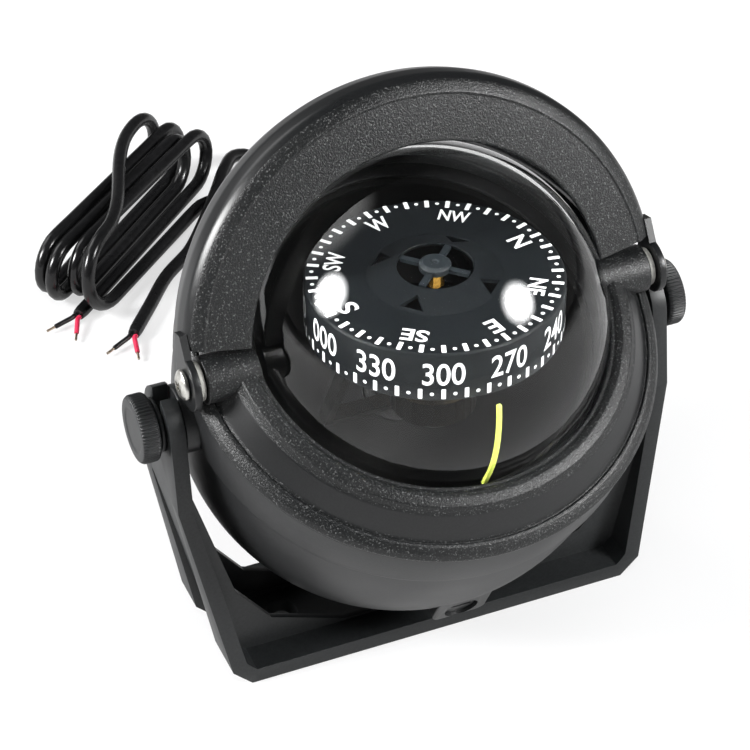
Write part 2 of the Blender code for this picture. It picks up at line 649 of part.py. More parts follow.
def make_card(card_frame, black, steel, jewel):
    rim = CARD_R - 0.8
    card = turned("card", [
        (CARD_HOLE, CARD_CONE_H), (CARD_CONE_R, 0.0), (CARD_R - 0.6, 0.0), (CARD_R, -0.6), (CARD_R, -CARD_BAND),
        (rim, -CARD_BAND), (rim, -CARD_T), (CARD_CONE_R - 0.2, -CARD_T), (CARD_HOLE, CARD_CONE_H - CARD_T)],
        SEG_BIG, HERE)
    windows = []
    near = CARD_HOLE + 2.3
    far = CARD_CONE_R - 1.2
    for i in range(WINDOWS):
        turn = Matrix.Rotation(2 * math.pi * (i + 0.5) / WINDOWS, 4, "Z")
        shape = [(near, 0.0), (far, -3.2), (far, 3.2)]
        windows.append(prism("window", shape, -4.0, CARD_CONE_H + 4.0, "z", turn))
    combine(card, windows, "DIFFERENCE")
    finish(card, card_frame, black)
    under = CARD_CONE_H - CARD_T
    spider = turned("card_spider", [
        (0.0, under), (HUB_DISC_R, under), (HUB_DISC_R, under + 1.6), (HUB_DISC_R - 1.0, under + 2.2),
        (0.0, under + 2.2)], 24, HERE)
    spokes = []
    for i in range(SPOKES):
        turn = Matrix.Rotation(2 * math.pi * (i + 0.5) / SPOKES, 4, "Z")
        spokes.append(block("spoke", HUB_DISC_R - 1.5, CARD_HOLE - GAP - 0.2, -SPOKE_W / 2, SPOKE_W / 2,
                            under + 0.1, under + 1.1, turn))
    combine(spider, spokes, "UNION")
    finish(spider, card_frame, black)
    top = under - GAP
    cup = turned("jewel_cup", [
        (0.0, top), (CUP_R, top), (CUP_R, top - CUP_H), (1.7, top - CUP_H), (1.5, top - 2.0), (0.0, top - 0.8)],
        SEG_SMALL, HERE)
    finish(cup, card_frame, jewel)
    for side in (-1, 1):
        x = side * MAGNET_X
        bar = block("card_magnet_" + side_name(side), x - MAGNET_W / 2, x + MAGNET_W / 2, -MAGNET_L / 2,
                    MAGNET_L / 2, -CARD_T - 0.4 - MAGNET_W, -CARD_T - 0.4, HERE)
        finish(bar, card_frame, steel, False)


def make_hood(hood_frame, satin):
    ridge = HOOD_R - 1.8
    edge = ridge - HOOD_FLANGE + 1.6
    outer = HOOD_R
    inner = HOOD_IN
    depth = HOOD_DEPTH
    profile = [
        (edge, 4.1), (ridge, 2.0), (outer - 0.2, -0.8), (outer, -0.26 * depth), (outer - 0.9, -0.52 * depth),
        (outer - 3.4, -0.82 * depth), (outer - 6.6, -depth), (outer - 7.8, -depth + 1.5),
        (inner - 3.1, -0.78 * depth), (inner - 0.7, -0.49 * depth), (inner, -0.26 * depth),
        (inner, -0.9), (inner - 1.3, 0.3), (edge, 2.3)]
    first = math.asin((BARREL_R + 0.3) / edge)
    hood = swept("hood", profile, first, math.pi - first, 26, HERE)
    lift = Matrix.Rotation(-math.radians(HOOD_LIFT - HOOD_DOWN), 4, "X")
    reach = HOOD_R + 20
    keep = block("keep", -reach, reach, -reach, reach, -reach, -2.0, lift)
    combine(hood, [keep], "DIFFERENCE")
    ears = []
    holes = []
    for side in (-1, 1):
        axis = mirrored(HERE, side)
        ears.append(rod("ear", EAR_R, EAR_IN, HOOD_R, 24, axis))
        lug = [(0.0, -EAR_R + 1.0), (BARREL_R + 6.5, -3.5), (BARREL_R + 6.5, 0.2), (0.0, EAR_R - 3.0)]
        low = EAR_IN if side > 0 else -HOOD_R
        ears.append(prism("lug", lug, low, low + HOOD_R - EAR_IN, "x", HERE))
        holes.append(rod("hole", PIVOT_R + RUN, EAR_IN - 4, HOOD_R + 4, 12, axis))
    combine(hood, ears, "UNION")
    combine(hood, holes, "DIFFERENCE")
    finish(hood, hood_frame, satin)


def make_hood_hardware(side, case, steel, nylon):
    place = mirrored(Matrix.Translation((0.0, 0.0, DOME_S)), side)
    name = side_name(side)
    screw = turned("hood_screw_" + name, [
        (0.0, PIVOT_IN), (PIVOT_R, PIVOT_IN), (PIVOT_R, HEAD_IN), (PIVOT_HEAD_R, HEAD_IN),
        (PIVOT_HEAD_R, HEAD_IN + PIVOT_HEAD_T * 0.5), (PIVOT_HEAD_R - 1.4, HEAD_IN + PIVOT_HEAD_T),
        (0.0, HEAD_IN + PIVOT_HEAD_T)], SEG_SMALL, place)
    finish(screw, case, steel)
    washer = pipe("hood_washer_" + name, PIVOT_R + GAP, HOOD_WASHER_R, HOOD_WASHER_IN,
                  HOOD_WASHER_IN + HOOD_WASHER_T, SEG_SMALL, place)
    finish(washer, case, nylon)


def make_compensators(front_frame, side_frame, brass, steel, reach, side_reach):
    low = ALONG_Y
    clear = SIDE_ROD_V - ROD_MAGNET_R - 1.0 - ROD_MAGNET_R
    start = clear - ROD_MAGNET_L
    finish(rod("compensator_rod_front", ROD_R, -reach, start - GAP, SEG_SMALL, low), front_frame, brass)
    magnet = rod("compensator_magnet_front", ROD_MAGNET_R, start, clear, SEG_SMALL, low)
    finish(magnet, front_frame, steel)
    across = ALONG_X
    half = ROD_MAGNET_L / 2
    finish(rod("compensator_rod_side", ROD_R, half + GAP, side_reach, SEG_SMALL, across), side_frame, brass)
    magnet = rod("compensator_magnet_side", ROD_MAGNET_R, -half, half, SEG_SMALL, across)
    finish(magnet, side_frame, steel)


def make_lighting(case, plastic, glass, rubber):
    wall = CASE_IN - 0.9
    half = HOLDER_W / 2
    top = -2.0
    holder = block("lamp_holder", -half, half, wall - HOLDER_W, wall, top - HOLDER_H, top, HERE)
    finish(holder, case, plastic, False)
    spot = Matrix.Translation((0.0, wall - HOLDER_W / 2, 0.0))
    bulb = turned("lamp_bulb", [
        (0.0, top + GAP), (LAMP_R, top + GAP), (LAMP_R, top + GAP + LAMP_H - LAMP_R),
        (LAMP_R * 0.7, top + GAP + LAMP_H - 0.8), (0.0, top + GAP + LAMP_H)], SEG_SMALL, spot)
    finish(bulb, case, glass)
    seat = GLAND_SEAT + GAP
    nose = seat + GLAND_FLANGE_T
    gland = turned("cable_gland", [
        (0.0, GLAND_SEAT - 9.0), (GLAND_R, GLAND_SEAT - 9.0), (GLAND_R, seat), (GLAND_FLANGE_R, seat),
        (GLAND_FLANGE_R, nose), (GLAND_FLANGE_R - 1.4, nose), (GLAND_FLANGE_R - 2.2, nose + GLAND_NOSE),
        (0.0, nose + GLAND_NOSE)], 20, GLAND_AXIS)
    finish(gland, case, rubber)
    return nose + GLAND_NOSE + GAP


def smooth_route(points, spacing):
    """Evenly spaced points on a smooth curve through the route's own points."""
    pts = [Vector(p) for p in points]
    pts = [2 * pts[0] - pts[1]] + pts + [2 * pts[-1] - pts[-2]]
    fine = []
    for i in range(1, len(pts) - 2):
        a, b, c, d = pts[i - 1:i + 3]
        for step in range(16):
            t = step / 16
            fine.append(0.5 * (2 * b + (c - a) * t + (2 * a - 5 * b + 4 * c - d) * t * t
                               + (3 * b - a - 3 * c + d) * t ** 3))
    fine.append(pts[-2])
    length = sum((fine[i + 1] - fine[i]).length for i in range(len(fine) - 1))
    count = max(2, round(length / spacing))
    even = [fine[0]]
    want = length / count
    run = 0.0
    for i in range(len(fine) - 1):
        piece = (fine[i + 1] - fine[i]).length
        while run + piece >= want * len(even) - 1e-6 and len(even) < count:
            even.append(fine[i].lerp(fine[i + 1], (want * len(even) - run) / piece))
        run += piece
    even.append(fine[-1])
    return even, length


def tube(name, points, diameter, resolution, parent, mat):
    curve = bpy.data.curves.new(name, "CURVE")
    curve.dimensions = "3D"
    curve.bevel_depth = diameter / 2 * MM
    curve.bevel_resolution = resolution
    curve.use_fill_caps = True
    spline = curve.splines.new("POLY")
    spline.points.add(len(points) - 1)
    for spot, point in zip(spline.points, points):
        spot.co = (*(Vector(point) * MM), 1.0)
    curve.materials.append(mat)
    obj = bpy.data.objects.new(name, curve)
    bpy.context.scene.collection.objects.link(obj)
    return obj


def hank_place(along, across, height):
    turn = math.radians(HANK_TURN)
    forward = Vector((math.cos(turn), math.sin(turn), 0.0))
    right = Vector((math.sin(turn), -math.cos(turn), 0.0))
    return Vector((HANK_X, HANK_Y, 0.0)) + forward * along + right * across + Vector((0.0, 0.0, height))


def fold(centre, low, radius, upper, up, steps):
    """Half circle at one end of a loop: (along, height) from one run to the other."""
    points = []
    for i in range(1, steps):
        angle = math.pi * i / steps
        height = low + radius - radius * math.cos(angle) if up else low + radius + radius * math.cos(angle)
        reach = radius * math.sin(angle)
        points.append((centre + reach if upper else centre - reach, height))
    return points


def hank_route(low):
    """Floor run, one strand laid over the bundle, then loops side by side, and the tail."""
    half = HANK_HALF
    over_fold = HANK_FOLD + HANK_PITCH / 2
    over = low + 2 * over_fold
    first = -HANK_PITCH * HANK_TURNS / 2 - 2.7
    side = first + HANK_PITCH * HANK_TURNS + HANK_PITCH + 0.4
    far = first - 3.9
    route = [(6.0 - i * (half + 6.0) / 6, side, low) for i in range(7)]
    steps = 7
    for i, (along, height) in enumerate(fold(-half, low, over_fold, False, True, steps)):
        route.append((along, side - 2.6 * (i + 1) / steps, height))
    entry = side - 2.6
    for i in range(10):
        t = i / 9
        ease = t * t * (3 - 2 * t)
        route.append((-half + (2 * half - 4.0) * t, entry + (far - entry) * ease, over))
    for along, height in fold(half - 4.0, low, over_fold, True, False, steps):
        route.append((along, far, height))
    for i in range(6):
        t = i / 6
        ease = t * t * (3 - 2 * t)
        route.append((half - 4.0 - (2 * half - 4.0) * t, far + (first - far) * ease, low))
    quarter = 6
    for turn in range(HANK_TURNS):
        reach = half + HANK_STAGGER * math.sin(2.4 * turn)
        last = half + HANK_STAGGER * math.sin(2.4 * (turn + 1))
        loop = [(-reach, low)] + fold(-reach, low, HANK_FOLD, False, True, quarter)
        loop += [(-reach + (reach + last) * i / quarter, low + 2 * HANK_FOLD) for i in range(quarter + 1)]
        loop += fold(last, low, HANK_FOLD, True, False, quarter)
        loop += [(last - (last + reach) * i / quarter, low) for i in range(quarter)]
        for i, (along, height) in enumerate(loop):
            route.append((along, first + HANK_PITCH * (turn + i / len(loop)), height))
    tail = first + HANK_PITCH * HANK_TURNS
    route += [(-half, tail, low), (-half - 6.0, tail, low), (-half - 12.0, tail, low)]
    return [hank_place(*point) for point in route]


def least_gap(path, other, diameter):
    """Least clear distance between two tubes, or of one tube to its own other turns."""
    same = other is path
    best = 1e9
    length = [0.0]
    for i in range(len(path) - 1):
        length.append(length[-1] + (path[i + 1] - path[i]).length)
    for i, a in enumerate(path):
        for j in range(len(other) - 1):
            near = min(abs(length[j] - length[i]), abs(length[j + 1] - length[i])) if same else 1e9
            if near < 5 * diameter:
                continue
            p = other[j]
            q = other[j + 1]
            span = q - p
            t = min(1.0, max(0.0, (a - p).dot(span) / span.length_squared))
            best = min(best, (a - p - span * t).length)
    return best - diameter


def make_leads(case, black, red, copper, start):
    low = CORD_D / 2 + 0.1
    exit_frame = CASE_FRAME @ GLAND_AXIS

    def leave(x):
        points = [exit_frame @ Vector((x, 0.0, start + d)) for d in (0.0, CORD_D, 2 * CORD_D)]
        return [tuple(p) for p in points]
    short = leave(LEAD_X) + [
        (6.0, 103.0, 52.0), (11.0, 122.0, 30.0), (18.0, 141.0, 10.0), (25.5, 160.0, low), (31.5, 176.0, low),
        (35.0, 189.5, low), (36.5, 199.5, low), (33.0, 206.5, low + 1.5), (26.5, 204.6, low + 4.2),
        (20.5, 196.8, low + 5.4), (14.0, 187.0, low + 4.6), (6.0, 176.9, low + 1.6), (-3.0, 166.2, low),
        (-14.0, 156.5, low), (-23.5, 144.6, low), (-30.5, 135.9, low), (-33.1, 132.6, low)]
    hank = hank_route(low)
    heading = (hank[1] - hank[0]).normalized()
    join = hank[0] - heading * GAP
    last = [join - heading * CORD_D * k for k in (3.0, 1.5, 0.0)]
    long = leave(-LEAD_X) + [
        (-1.0, 103.0, 51.0), (4.0, 122.0, 29.0), (11.0, 141.0, 9.5), (18.0, 158.0, low), (22.5, 173.0, low),
        (22.2, 183.3, low), (16.9, 188.7, low), (10.2, 188.7, low)] + [tuple(p) for p in last]
    short_points, short_length = smooth_route(short, CORD_D * 2.2)
    long_points, long_length = smooth_route(long, CORD_D * 2.2)
    short_points = [Vector((p.x, p.y, max(p.z, low))) for p in short_points]
    long_points = [Vector((p.x, p.y, max(p.z, low))) for p in long_points]
    hank_length = sum((hank[i + 1] - hank[i]).length for i in range(len(hank) - 1))
    tube("lead_short", short_points, CORD_D, 2, case, black)
    tube("lead_long", long_points, CORD_D, 2, case, black)
    tube("lead_long_hank", hank, CORD_D, 1, case, black)
    print("short lead mm", round(short_length, 1))
    print("long lead mm", round(long_length + hank_length, 1))
    print("hank least gap to itself mm", round(least_gap(hank, hank, CORD_D), 2))
    print("short to long mm", round(least_gap(short_points, long_points, CORD_D), 2))
    print("short to hank mm", round(least_gap(short_points, hank, CORD_D), 2))
    print("long to hank mm", round(least_gap(long_points[:-3], hank, CORD_D), 2))
    floor = Vector((0.0, 0.0, CORE_D / 2 + 0.1))
    for name, points in (("short", short_points), ("long", hank)):
        end = points[-1]
        ahead = (points[-1] - points[-2]).normalized()
        beside = Vector((-ahead.y, ahead.x, 0.0))
        for colour, side, mat in (("red", 1, red), ("black", -1, black)):
            at = end + ahead * GAP + beside * side * 0.95
            fan = ahead + beside * side * 0.5 - Vector((0.0, 0.0, 0.12))
            route = [at, at + ahead * 1.5, at + ahead * 1.5 + fan * (CORE_L * 0.4)]
            route.append(route[-1] + fan * (CORE_L * 0.4))
            route = [Vector((p.x, p.y, max(p.z, floor.z))) for p in route]
            tube("core_%s_%s" % (name, colour), route, CORE_D, 1, case, mat)
            way = (route[-1] - route[-2]).normalized()
            tip = route[-1] + way * GAP
            tube("tip_%s_%s" % (name, colour), [tip, tip + way * TIP_L * 0.5, tip + way * TIP_L], TIP_D, 1,
                 case, copper)


def main():
    clear_scene()
    matte = material("matte_black", (0.045, 0.047, 0.05), 0.55)
    case_black = material("case_black", (0.06, 0.06, 0.06), 0.5)
    textured = material("textured_black", (0.05, 0.052, 0.055), 0.65)
    satin = material("satin_black", (0.07, 0.072, 0.075), 0.42)
    knob_black = material("knob_black", (0.035, 0.036, 0.04), 0.45)
    plug_black = material("plug_black", (0.02, 0.02, 0.022), 0.5)
    clear = material("clear_dome", (0.95, 0.97, 0.97), 0.02, 0.0, 1.0)
    pale = material("bowl_grey", (0.35, 0.36, 0.37), 0.5)
    rubber = material("rubber", (0.03, 0.03, 0.03), 0.8)
    yellow = material("lubber_yellow", (0.75, 0.86, 0.15), 0.45)
    card_black = material("card_black", (0.012, 0.016, 0.02), 0.5)
    brass = material("brass", (0.7, 0.5, 0.2), 0.3, 1.0)
    steel = material("steel", (0.75, 0.74, 0.72), 0.25, 1.0)
    weight = material("weight_metal", (0.3, 0.3, 0.31), 0.45, 1.0)
    nylon = material("nylon", (0.6, 0.6, 0.58), 0.5)
    jewel = material("jewel", (0.45, 0.05, 0.08), 0.15)
    glass = material("lamp_glass", (0.8, 0.2, 0.15), 0.1)
    cord = material("cord_black", (0.015, 0.015, 0.016), 0.35)
    red = material("core_red", (0.75, 0.05, 0.1), 0.4)
    copper = material("copper", (0.8, 0.4, 0.22), 0.3, 1.0)

    case = frame_empty("case_frame", CASE_FRAME)
    knobs = {}
    for side in (-1, 1):
        knobs[side] = frame_empty("knob_frame_" + side_name(side), CASE_FRAME, case)
    hood_frame = frame_empty("hood_frame", HOOD_FRAME, case)
    ring_frame = frame_empty("gimbal_ring_frame", GIMBAL_FRAME, case)
    hub_frame = frame_empty("gimbal_hub_frame", GIMBAL_FRAME, ring_frame)
    card_frame = frame_empty("card_frame", CARD_FRAME, hub_frame)
    front_rod = frame_empty("front_rod_frame", CASE_FRAME @ Matrix.Translation((0, 0, -ROD_DROP)), case)
    side_place = CASE_FRAME @ Matrix.Translation((0, SIDE_ROD_V, -ROD_DROP))
    side_rod = frame_empty("side_rod_frame", side_place, case)

    make_bracket(matte)
    for side in (-1, 1):
        make_tilt_hardware(side, knobs[side], case, matte, knob_black, brass)
        make_hood_hardware(side, case, steel, nylon)
    reach, side_reach = make_case(case, case_black, plug_black)
    make_cover(case, case_black, steel)
    make_bezel(case, textured)
    make_dome(case, clear, rubber)
    make_bowl(case, pale, rubber, yellow)
    make_gimbal(case, ring_frame, hub_frame, brass, steel, weight)
    make_card(card_frame, card_black, steel, jewel)
    make_hood(hood_frame, satin)
    make_compensators(front_rod, side_rod, brass, steel, reach, side_reach)
    start = make_lighting(case, plug_black, glass, rubber)
    make_leads(None, cord, red, copper, start)


main()
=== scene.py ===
"""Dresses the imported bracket-mount compass: fine rounded pieces, materials, leads, studio and camera."""
import math

import bmesh
import bpy
from mathutils import Matrix, Vector


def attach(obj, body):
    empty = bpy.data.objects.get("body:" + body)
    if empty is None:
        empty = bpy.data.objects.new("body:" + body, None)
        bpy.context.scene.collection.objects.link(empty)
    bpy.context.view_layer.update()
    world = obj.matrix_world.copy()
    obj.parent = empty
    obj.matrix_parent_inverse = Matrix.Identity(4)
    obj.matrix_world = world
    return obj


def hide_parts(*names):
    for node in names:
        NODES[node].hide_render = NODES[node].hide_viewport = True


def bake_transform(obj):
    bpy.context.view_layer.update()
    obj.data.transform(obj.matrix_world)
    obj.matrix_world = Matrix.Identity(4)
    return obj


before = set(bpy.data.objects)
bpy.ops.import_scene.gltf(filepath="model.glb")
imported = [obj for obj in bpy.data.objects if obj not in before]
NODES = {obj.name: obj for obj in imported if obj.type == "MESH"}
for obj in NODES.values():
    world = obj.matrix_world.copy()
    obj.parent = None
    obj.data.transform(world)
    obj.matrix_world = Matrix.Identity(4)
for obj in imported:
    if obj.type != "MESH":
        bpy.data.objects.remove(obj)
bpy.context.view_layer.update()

MM = 0.001
HERE = Matrix.Identity(4)
ALONG_X = Matrix.Rotation(math.pi / 2, 4, "Y")
ALONG_Y = Matrix.Rotation(-math.pi / 2, 4, "X")
AXIS = Vector((0.0, 1.9, 76.0))
TILT = math.radians(28.3)
DOME_S = 20.7                       # the dome's centre above the tilt axis, along the case
DOME_R = 46.0
DOME_INSIDE = 44.0
CASE = Matrix.Translation(AXIS) @ Matrix.Rotation(TILT, 4, "X")
DOME = CASE @ Vector((0.0, 0.0, DOME_S))
LIFT = math.radians(44.7)
HOOD = Matrix.Translation(DOME) @ Matrix.Rotation(TILT + LIFT, 4, "X")
CARD = Matrix.Translation(DOME + Vector((0.0, -4.6, 18.0)))
GLAND_TURN = Matrix.Rotation(math.radians(-38.0), 4, "X") @ ALONG_Y
GLAND = CASE @ GLAND_TURN
GLAND_SEAT = 68.497


# ---------------------------------------------------------------- materials

def rgb(code):
    """Linear colour from a six-digit sRGB code."""
    parts = [int(code[i:i + 2], 16) / 255 for i in (0, 2, 4)]
    return tuple(p / 12.92 if p < 0.04045 else ((p + 0.055) / 1.055) ** 2.4 for p in parts)


class Nodes:
    """Short ways to add nodes to a node tree."""

    def __init__(self, tree):
        self.tree = tree

    def node(self, kind, **values):
        made = self.tree.nodes.new(kind)
        for key, value in values.items():
            made.inputs[key.replace("_", " ")].default_value = value
        return made

    def link(self, source, target):
        self.tree.links.new(source, target)

    def sums(self, operation, first, second=None, kind="ShaderNodeMath"):
        made = self.tree.nodes.new(kind)
        made.operation = operation
        self.link(first, made.inputs[0])
        if second is not None:
            self.link(second, made.inputs[1])
        return made.outputs["Value"]

    def fade(self, value, span, ends):
        """A smooth change from the first of ends to the second as the value crosses the span."""
        made = self.node("ShaderNodeMapRange", From_Min=span[0], From_Max=span[1], To_Min=ends[0], To_Max=ends[1])
        made.interpolation_type = "SMOOTHSTEP"
        self.link(value, made.inputs["Value"])
        return made.outputs["Result"]

    def ramp(self, value, *stops):
        """Colours, or grey levels, by value."""
        made = self.tree.nodes.new("ShaderNodeValToRGB")
        ramp = made.color_ramp
        while len(ramp.elements) < len(stops):
            ramp.elements.new(0.5)
        for element, (place, colour) in zip(ramp.elements, stops):
            element.position = place
            element.color = (colour, colour, colour, 1.0) if isinstance(colour, float) else (*colour, 1.0)
        self.link(value, made.inputs["Fac"])
        return made.outputs["Color"]


class Surface(Nodes):
    """A Principled material whose colour, roughness and relief come from procedural nodes."""

    def __init__(self, name):
        self.mat = bpy.data.materials.new(name)
        self.mat.use_nodes = True
        super().__init__(self.mat.node_tree)
        self.shader = self.tree.nodes["Principled BSDF"]
        self.coords = self.tree.nodes.new("ShaderNodeTexCoord").outputs["Object"]

    def noise(self, scale, detail=3.0):
        tex = self.node("ShaderNodeTexNoise", Scale=scale, Detail=detail)
        self.link(self.coords, tex.inputs["Vector"])
        return tex.outputs["Fac"]

    def add_glints(self, colour, glint_mask, glint_colour):
        """The colour, turning into the painted glint colour where the glint mask is high: painted highlights."""
        made = self.node("ShaderNodeMixRGB", Color2=(*glint_colour, 1.0))
        self.link(glint_mask, made.inputs["Fac"])
        self.link(colour, made.inputs["Color1"])
        return made.outputs["Color"]

    def times(self, first, second):
        made = self.node("ShaderNodeMixRGB", Fac=1.0)
        made.blend_type = "MULTIPLY"
        self.link(first, made.inputs["Color1"])
        self.link(second, made.inputs["Color2"])
        return made.outputs["Color"]

    def set(self, socket, value):
        self.shader.inputs[socket].default_value = value

    def give(self, socket, value):
        self.link(value, self.shader.inputs[socket])

    def relief(self, height, strength, distance):
        made = self.node("ShaderNodeBump", Strength=strength, Distance=distance)
        self.link(height, made.inputs["Height"])
        self.give("Normal", made.outputs["Normal"])


def plastic(name, dark, light, rough, grain=1500.0, strength=0.25, depth=0.0001, painted_glint=None, shine=0.5):
    """Moulded plastic: fine grain, cloudy gloss and, where it is coarse, painted glints: bright flecks of colour that
    stand for light caught on the crests.
    """
    s = Surface(name)
    fine = s.noise(grain, 4.0)
    cloud = s.noise(28.0, 3.0)
    colour = s.ramp(fine, (0.32, dark), (0.7, light))
    if painted_glint:
        # painted highlight: random bright flecks in the base colour stand for glints on the grain's crests
        glint_mask = s.ramp(s.noise(grain * 0.9, 1.0), (0.6, 0.0), (0.72, 1.0))
        colour = s.add_glints(colour, glint_mask, painted_glint)
    worn = s.ramp(cloud, (0.3, 0.86), (0.75, 1.0))
    s.give("Base Color", s.times(colour, worn))
    s.give("Roughness", s.ramp(cloud, (0.3, rough[0]), (0.7, rough[1])))
    s.relief(fine, strength, depth)
    s.set("Specular IOR Level", shine)
    return s.mat


def metal(name, dark, light, rough, scale=900.0):
    """Brushed metal with cloudy gloss."""
    s = Surface(name)
    s.set("Metallic", 1.0)
    streak = s.noise(scale, 4.0)
    s.give("Base Color", s.ramp(streak, (0.3, dark), (0.7, light)))
    s.give("Roughness", s.ramp(s.noise(120.0, 3.0), (0.3, rough[0]), (0.7, rough[1])))
    s.relief(streak, 0.12, 0.00005)
    return s.mat


def clear(name, tint, gloss):
    """Clear moulding filled to its inner face: one reflecting skin, hardly any bending."""
    s = Surface(name)
    s.set("Base Color", (*tint, 1.0))
    s.set("Transmission Weight", 1.0)
    s.set("IOR", 1.02)
    s.set("Roughness", 0.0)
    if gloss:
        s.set("Coat Weight", 1.0)
        s.set("Coat IOR", 1.46)
        s.give("Coat Roughness", s.ramp(s.noise(45.0, 4.0), (0.35, gloss[0]), (0.75, gloss[1])))
    s.relief(s.noise(18.0, 2.0), 0.01, 0.0001)
    return s.mat


def paint(name, low, high, rough):
    """Printed or dipped paint with a fine tooth."""
    s = Surface(name)
    speck = s.noise(2200.0, 3.0)
    s.give("Base Color", s.ramp(speck, (0.3, low), (0.65, high)))
    s.give("Roughness", s.ramp(s.noise(90.0, 2.0), (0.3, rough[0]), (0.7, rough[1])))
    s.relief(speck, 0.15, 0.00004)
    return s.mat


BRACKET = plastic("bracket_plastic", rgb("17191a"), rgb("232526"), (0.36, 0.5), 1500.0, 0.2, 0.00007)
SATIN = plastic("satin_plastic", rgb("111213"), rgb("1b1c1d"), (0.26, 0.36), 2200.0, 0.2, 0.00006)
CASE_SKIN = plastic("case_plastic", rgb("1a1b1c"), rgb("262728"), (0.36, 0.48), 2000.0, 0.22, 0.00007)
# the grey 575858 flecks of the coarse plastic are painted glints, not a colour of the plastic
COARSE = plastic("coarse_plastic", rgb("0a0b0b"), rgb("17191a"), (0.34, 0.46), 2300.0, 0.75, 0.00022, rgb("575858"))
KNOB = plastic("knob_plastic", rgb("191a1b"), rgb("262829"), (0.34, 0.46), 1800.0, 0.2, 0.00007)
PLUG = plastic("plug_plastic", rgb("141516"), rgb("1f2021"), (0.36, 0.48), 1500.0, 0.2, 0.00008)
DIAL = plastic("dial_plastic", rgb("0d1012"), rgb("14181b"), (0.42, 0.54), 1800.0, 0.1, 0.00004, None, 0.25)
SPIDER = plastic("spider_plastic", rgb("161b1f"), rgb("20272b"), (0.4, 0.52), 1500.0, 0.15, 0.00006)
BOWL = plastic("bowl_plastic", rgb("0b0b0b"), rgb("131312"), (0.5, 0.62), 2600.0, 0.03, 0.00002, None, 0.25)
RUBBER = plastic("rubber", rgb("0c0c0d"), rgb("151516"), (0.6, 0.75), 1300.0, 0.3, 0.0001)
JACKET = plastic("lead_jacket", rgb("0d0d0e"), rgb("171718"), (0.2, 0.34), 700.0, 0.14, 0.00008)
NYLON = plastic("nylon", rgb("a9a8a2"), rgb("c2c1ba"), (0.42, 0.55), 1200.0, 0.15, 0.00006)
CORE_RED = plastic("core_red", rgb("c9284a"), rgb("e8385c"), (0.3, 0.42), 1200.0, 0.12, 0.00005)
CORE_BLACK = plastic("core_black", rgb("0f0f10"), rgb("1b1b1c"), (0.3, 0.42), 1200.0, 0.12, 0.00005)
WHITE = paint("white_print", rgb("eef0f0"), rgb("fbfcfc"), (0.42, 0.55))
YELLOW = paint("yellow_line", rgb("d3e052"), rgb("e6f272"), (0.35, 0.5))
BRASS = metal("brass", rgb("a87a2e"), rgb("d3a550"), (0.18, 0.34))
# brass darkened to near black for the yoke, ring and counterweight, so the works under the card stay dark
DARK_BRASS = metal("dark_brass", rgb("17150f"), rgb("241f16"), (0.4, 0.55))
STEEL = metal("steel", rgb("c2c0ba"), rgb("e6e4de"), (0.24, 0.4), 700.0)
DARK_STEEL = metal("blackened_steel", rgb("141415"), rgb("202122"), (0.4, 0.55))
COPPER = metal("tinned_copper", rgb("a8927a"), rgb("e0d3c0"), (0.25, 0.4), 2500.0)
LAMP = plastic("lamp_glass", rgb("b03a30"), rgb("d65648"), (0.08, 0.18), 700.0, 0.05, 0.00002)
ACRYLIC = clear("acrylic", (0.97, 0.98, 0.975), (0.005, 0.03))
ACRYLIC_IN = clear("acrylic_inside", (0.97, 0.98, 0.975), None)


# ---------------------------------------------------------------- shapes, in millimetres

def add_mesh(name, verts, faces, matrix=HERE):
    mesh = bpy.data.meshes.new(name)
    bm = bmesh.new()
    points = [bm.verts.new(matrix @ Vector(v)) for v in verts]
    for face in faces:
        bm.faces.new([points[i] for i in face])
    bmesh.ops.recalc_face_normals(bm, faces=bm.faces)
    bm.to_mesh(mesh)
    bm.free()
    obj = bpy.data.objects.new(name, mesh)
    bpy.context.scene.collection.objects.link(obj)
    return obj


def soften(profile, radius, loop=True, steps=4):
    """The profile with each corner turned into a small arc."""
    pts = [Vector(p) for p in profile]
    out = []
    for i, here in enumerate(pts):
        if not loop and i in (0, len(pts) - 1):
            out.append(here)
            continue
        before = pts[i - 1] - here
        after = pts[(i + 1) % len(pts)] - here
        if math.degrees(before.angle(-after)) < 5.0:
            out.append(here)
            continue
        cut = min(radius, 0.45 * before.length, 0.45 * after.length)
        a = here + before.normalized() * cut
        b = here + after.normalized() * cut
        for k in range(steps + 1):
            t = k / steps
            out.append(a * (1 - t) ** 2 + here * 2 * t * (1 - t) + b * t * t)
    return [tuple(p) for p in out]


def through(points, spacing=None, parts=16):
    """Smooth curve through the points, evenly spaced if asked."""
    pts = [Vector(p) for p in points]
    pts = [2 * pts[0] - pts[1]] + pts + [2 * pts[-1] - pts[-2]]
    fine = []
    for i in range(1, len(pts) - 2):
        a, b, c, d = pts[i - 1:i + 3]
        for k in range(parts):
            t = k / parts
            fine.append(0.5 * (2 * b + (c - a) * t + (2 * a - 5 * b + 4 * c - d) * t * t
                               + (3 * b - a - 3 * c + d) * t ** 3))
    fine.append(pts[-2])
    if spacing is None:
        return fine
    lengths = [0.0]
    for i in range(len(fine) - 1):
        lengths.append(lengths[-1] + (fine[i + 1] - fine[i]).length)
    count = max(2, round(lengths[-1] / spacing))
    even = []
    j = 0
    for k in range(count + 1):
        want = lengths[-1] * k / count
        while j < len(fine) - 2 and lengths[j + 1] < want:
            j += 1
        span = max(lengths[j + 1] - lengths[j], 1e-9)
        even.append(fine[j].lerp(fine[j + 1], min(1.0, (want - lengths[j]) / span)))
    return even


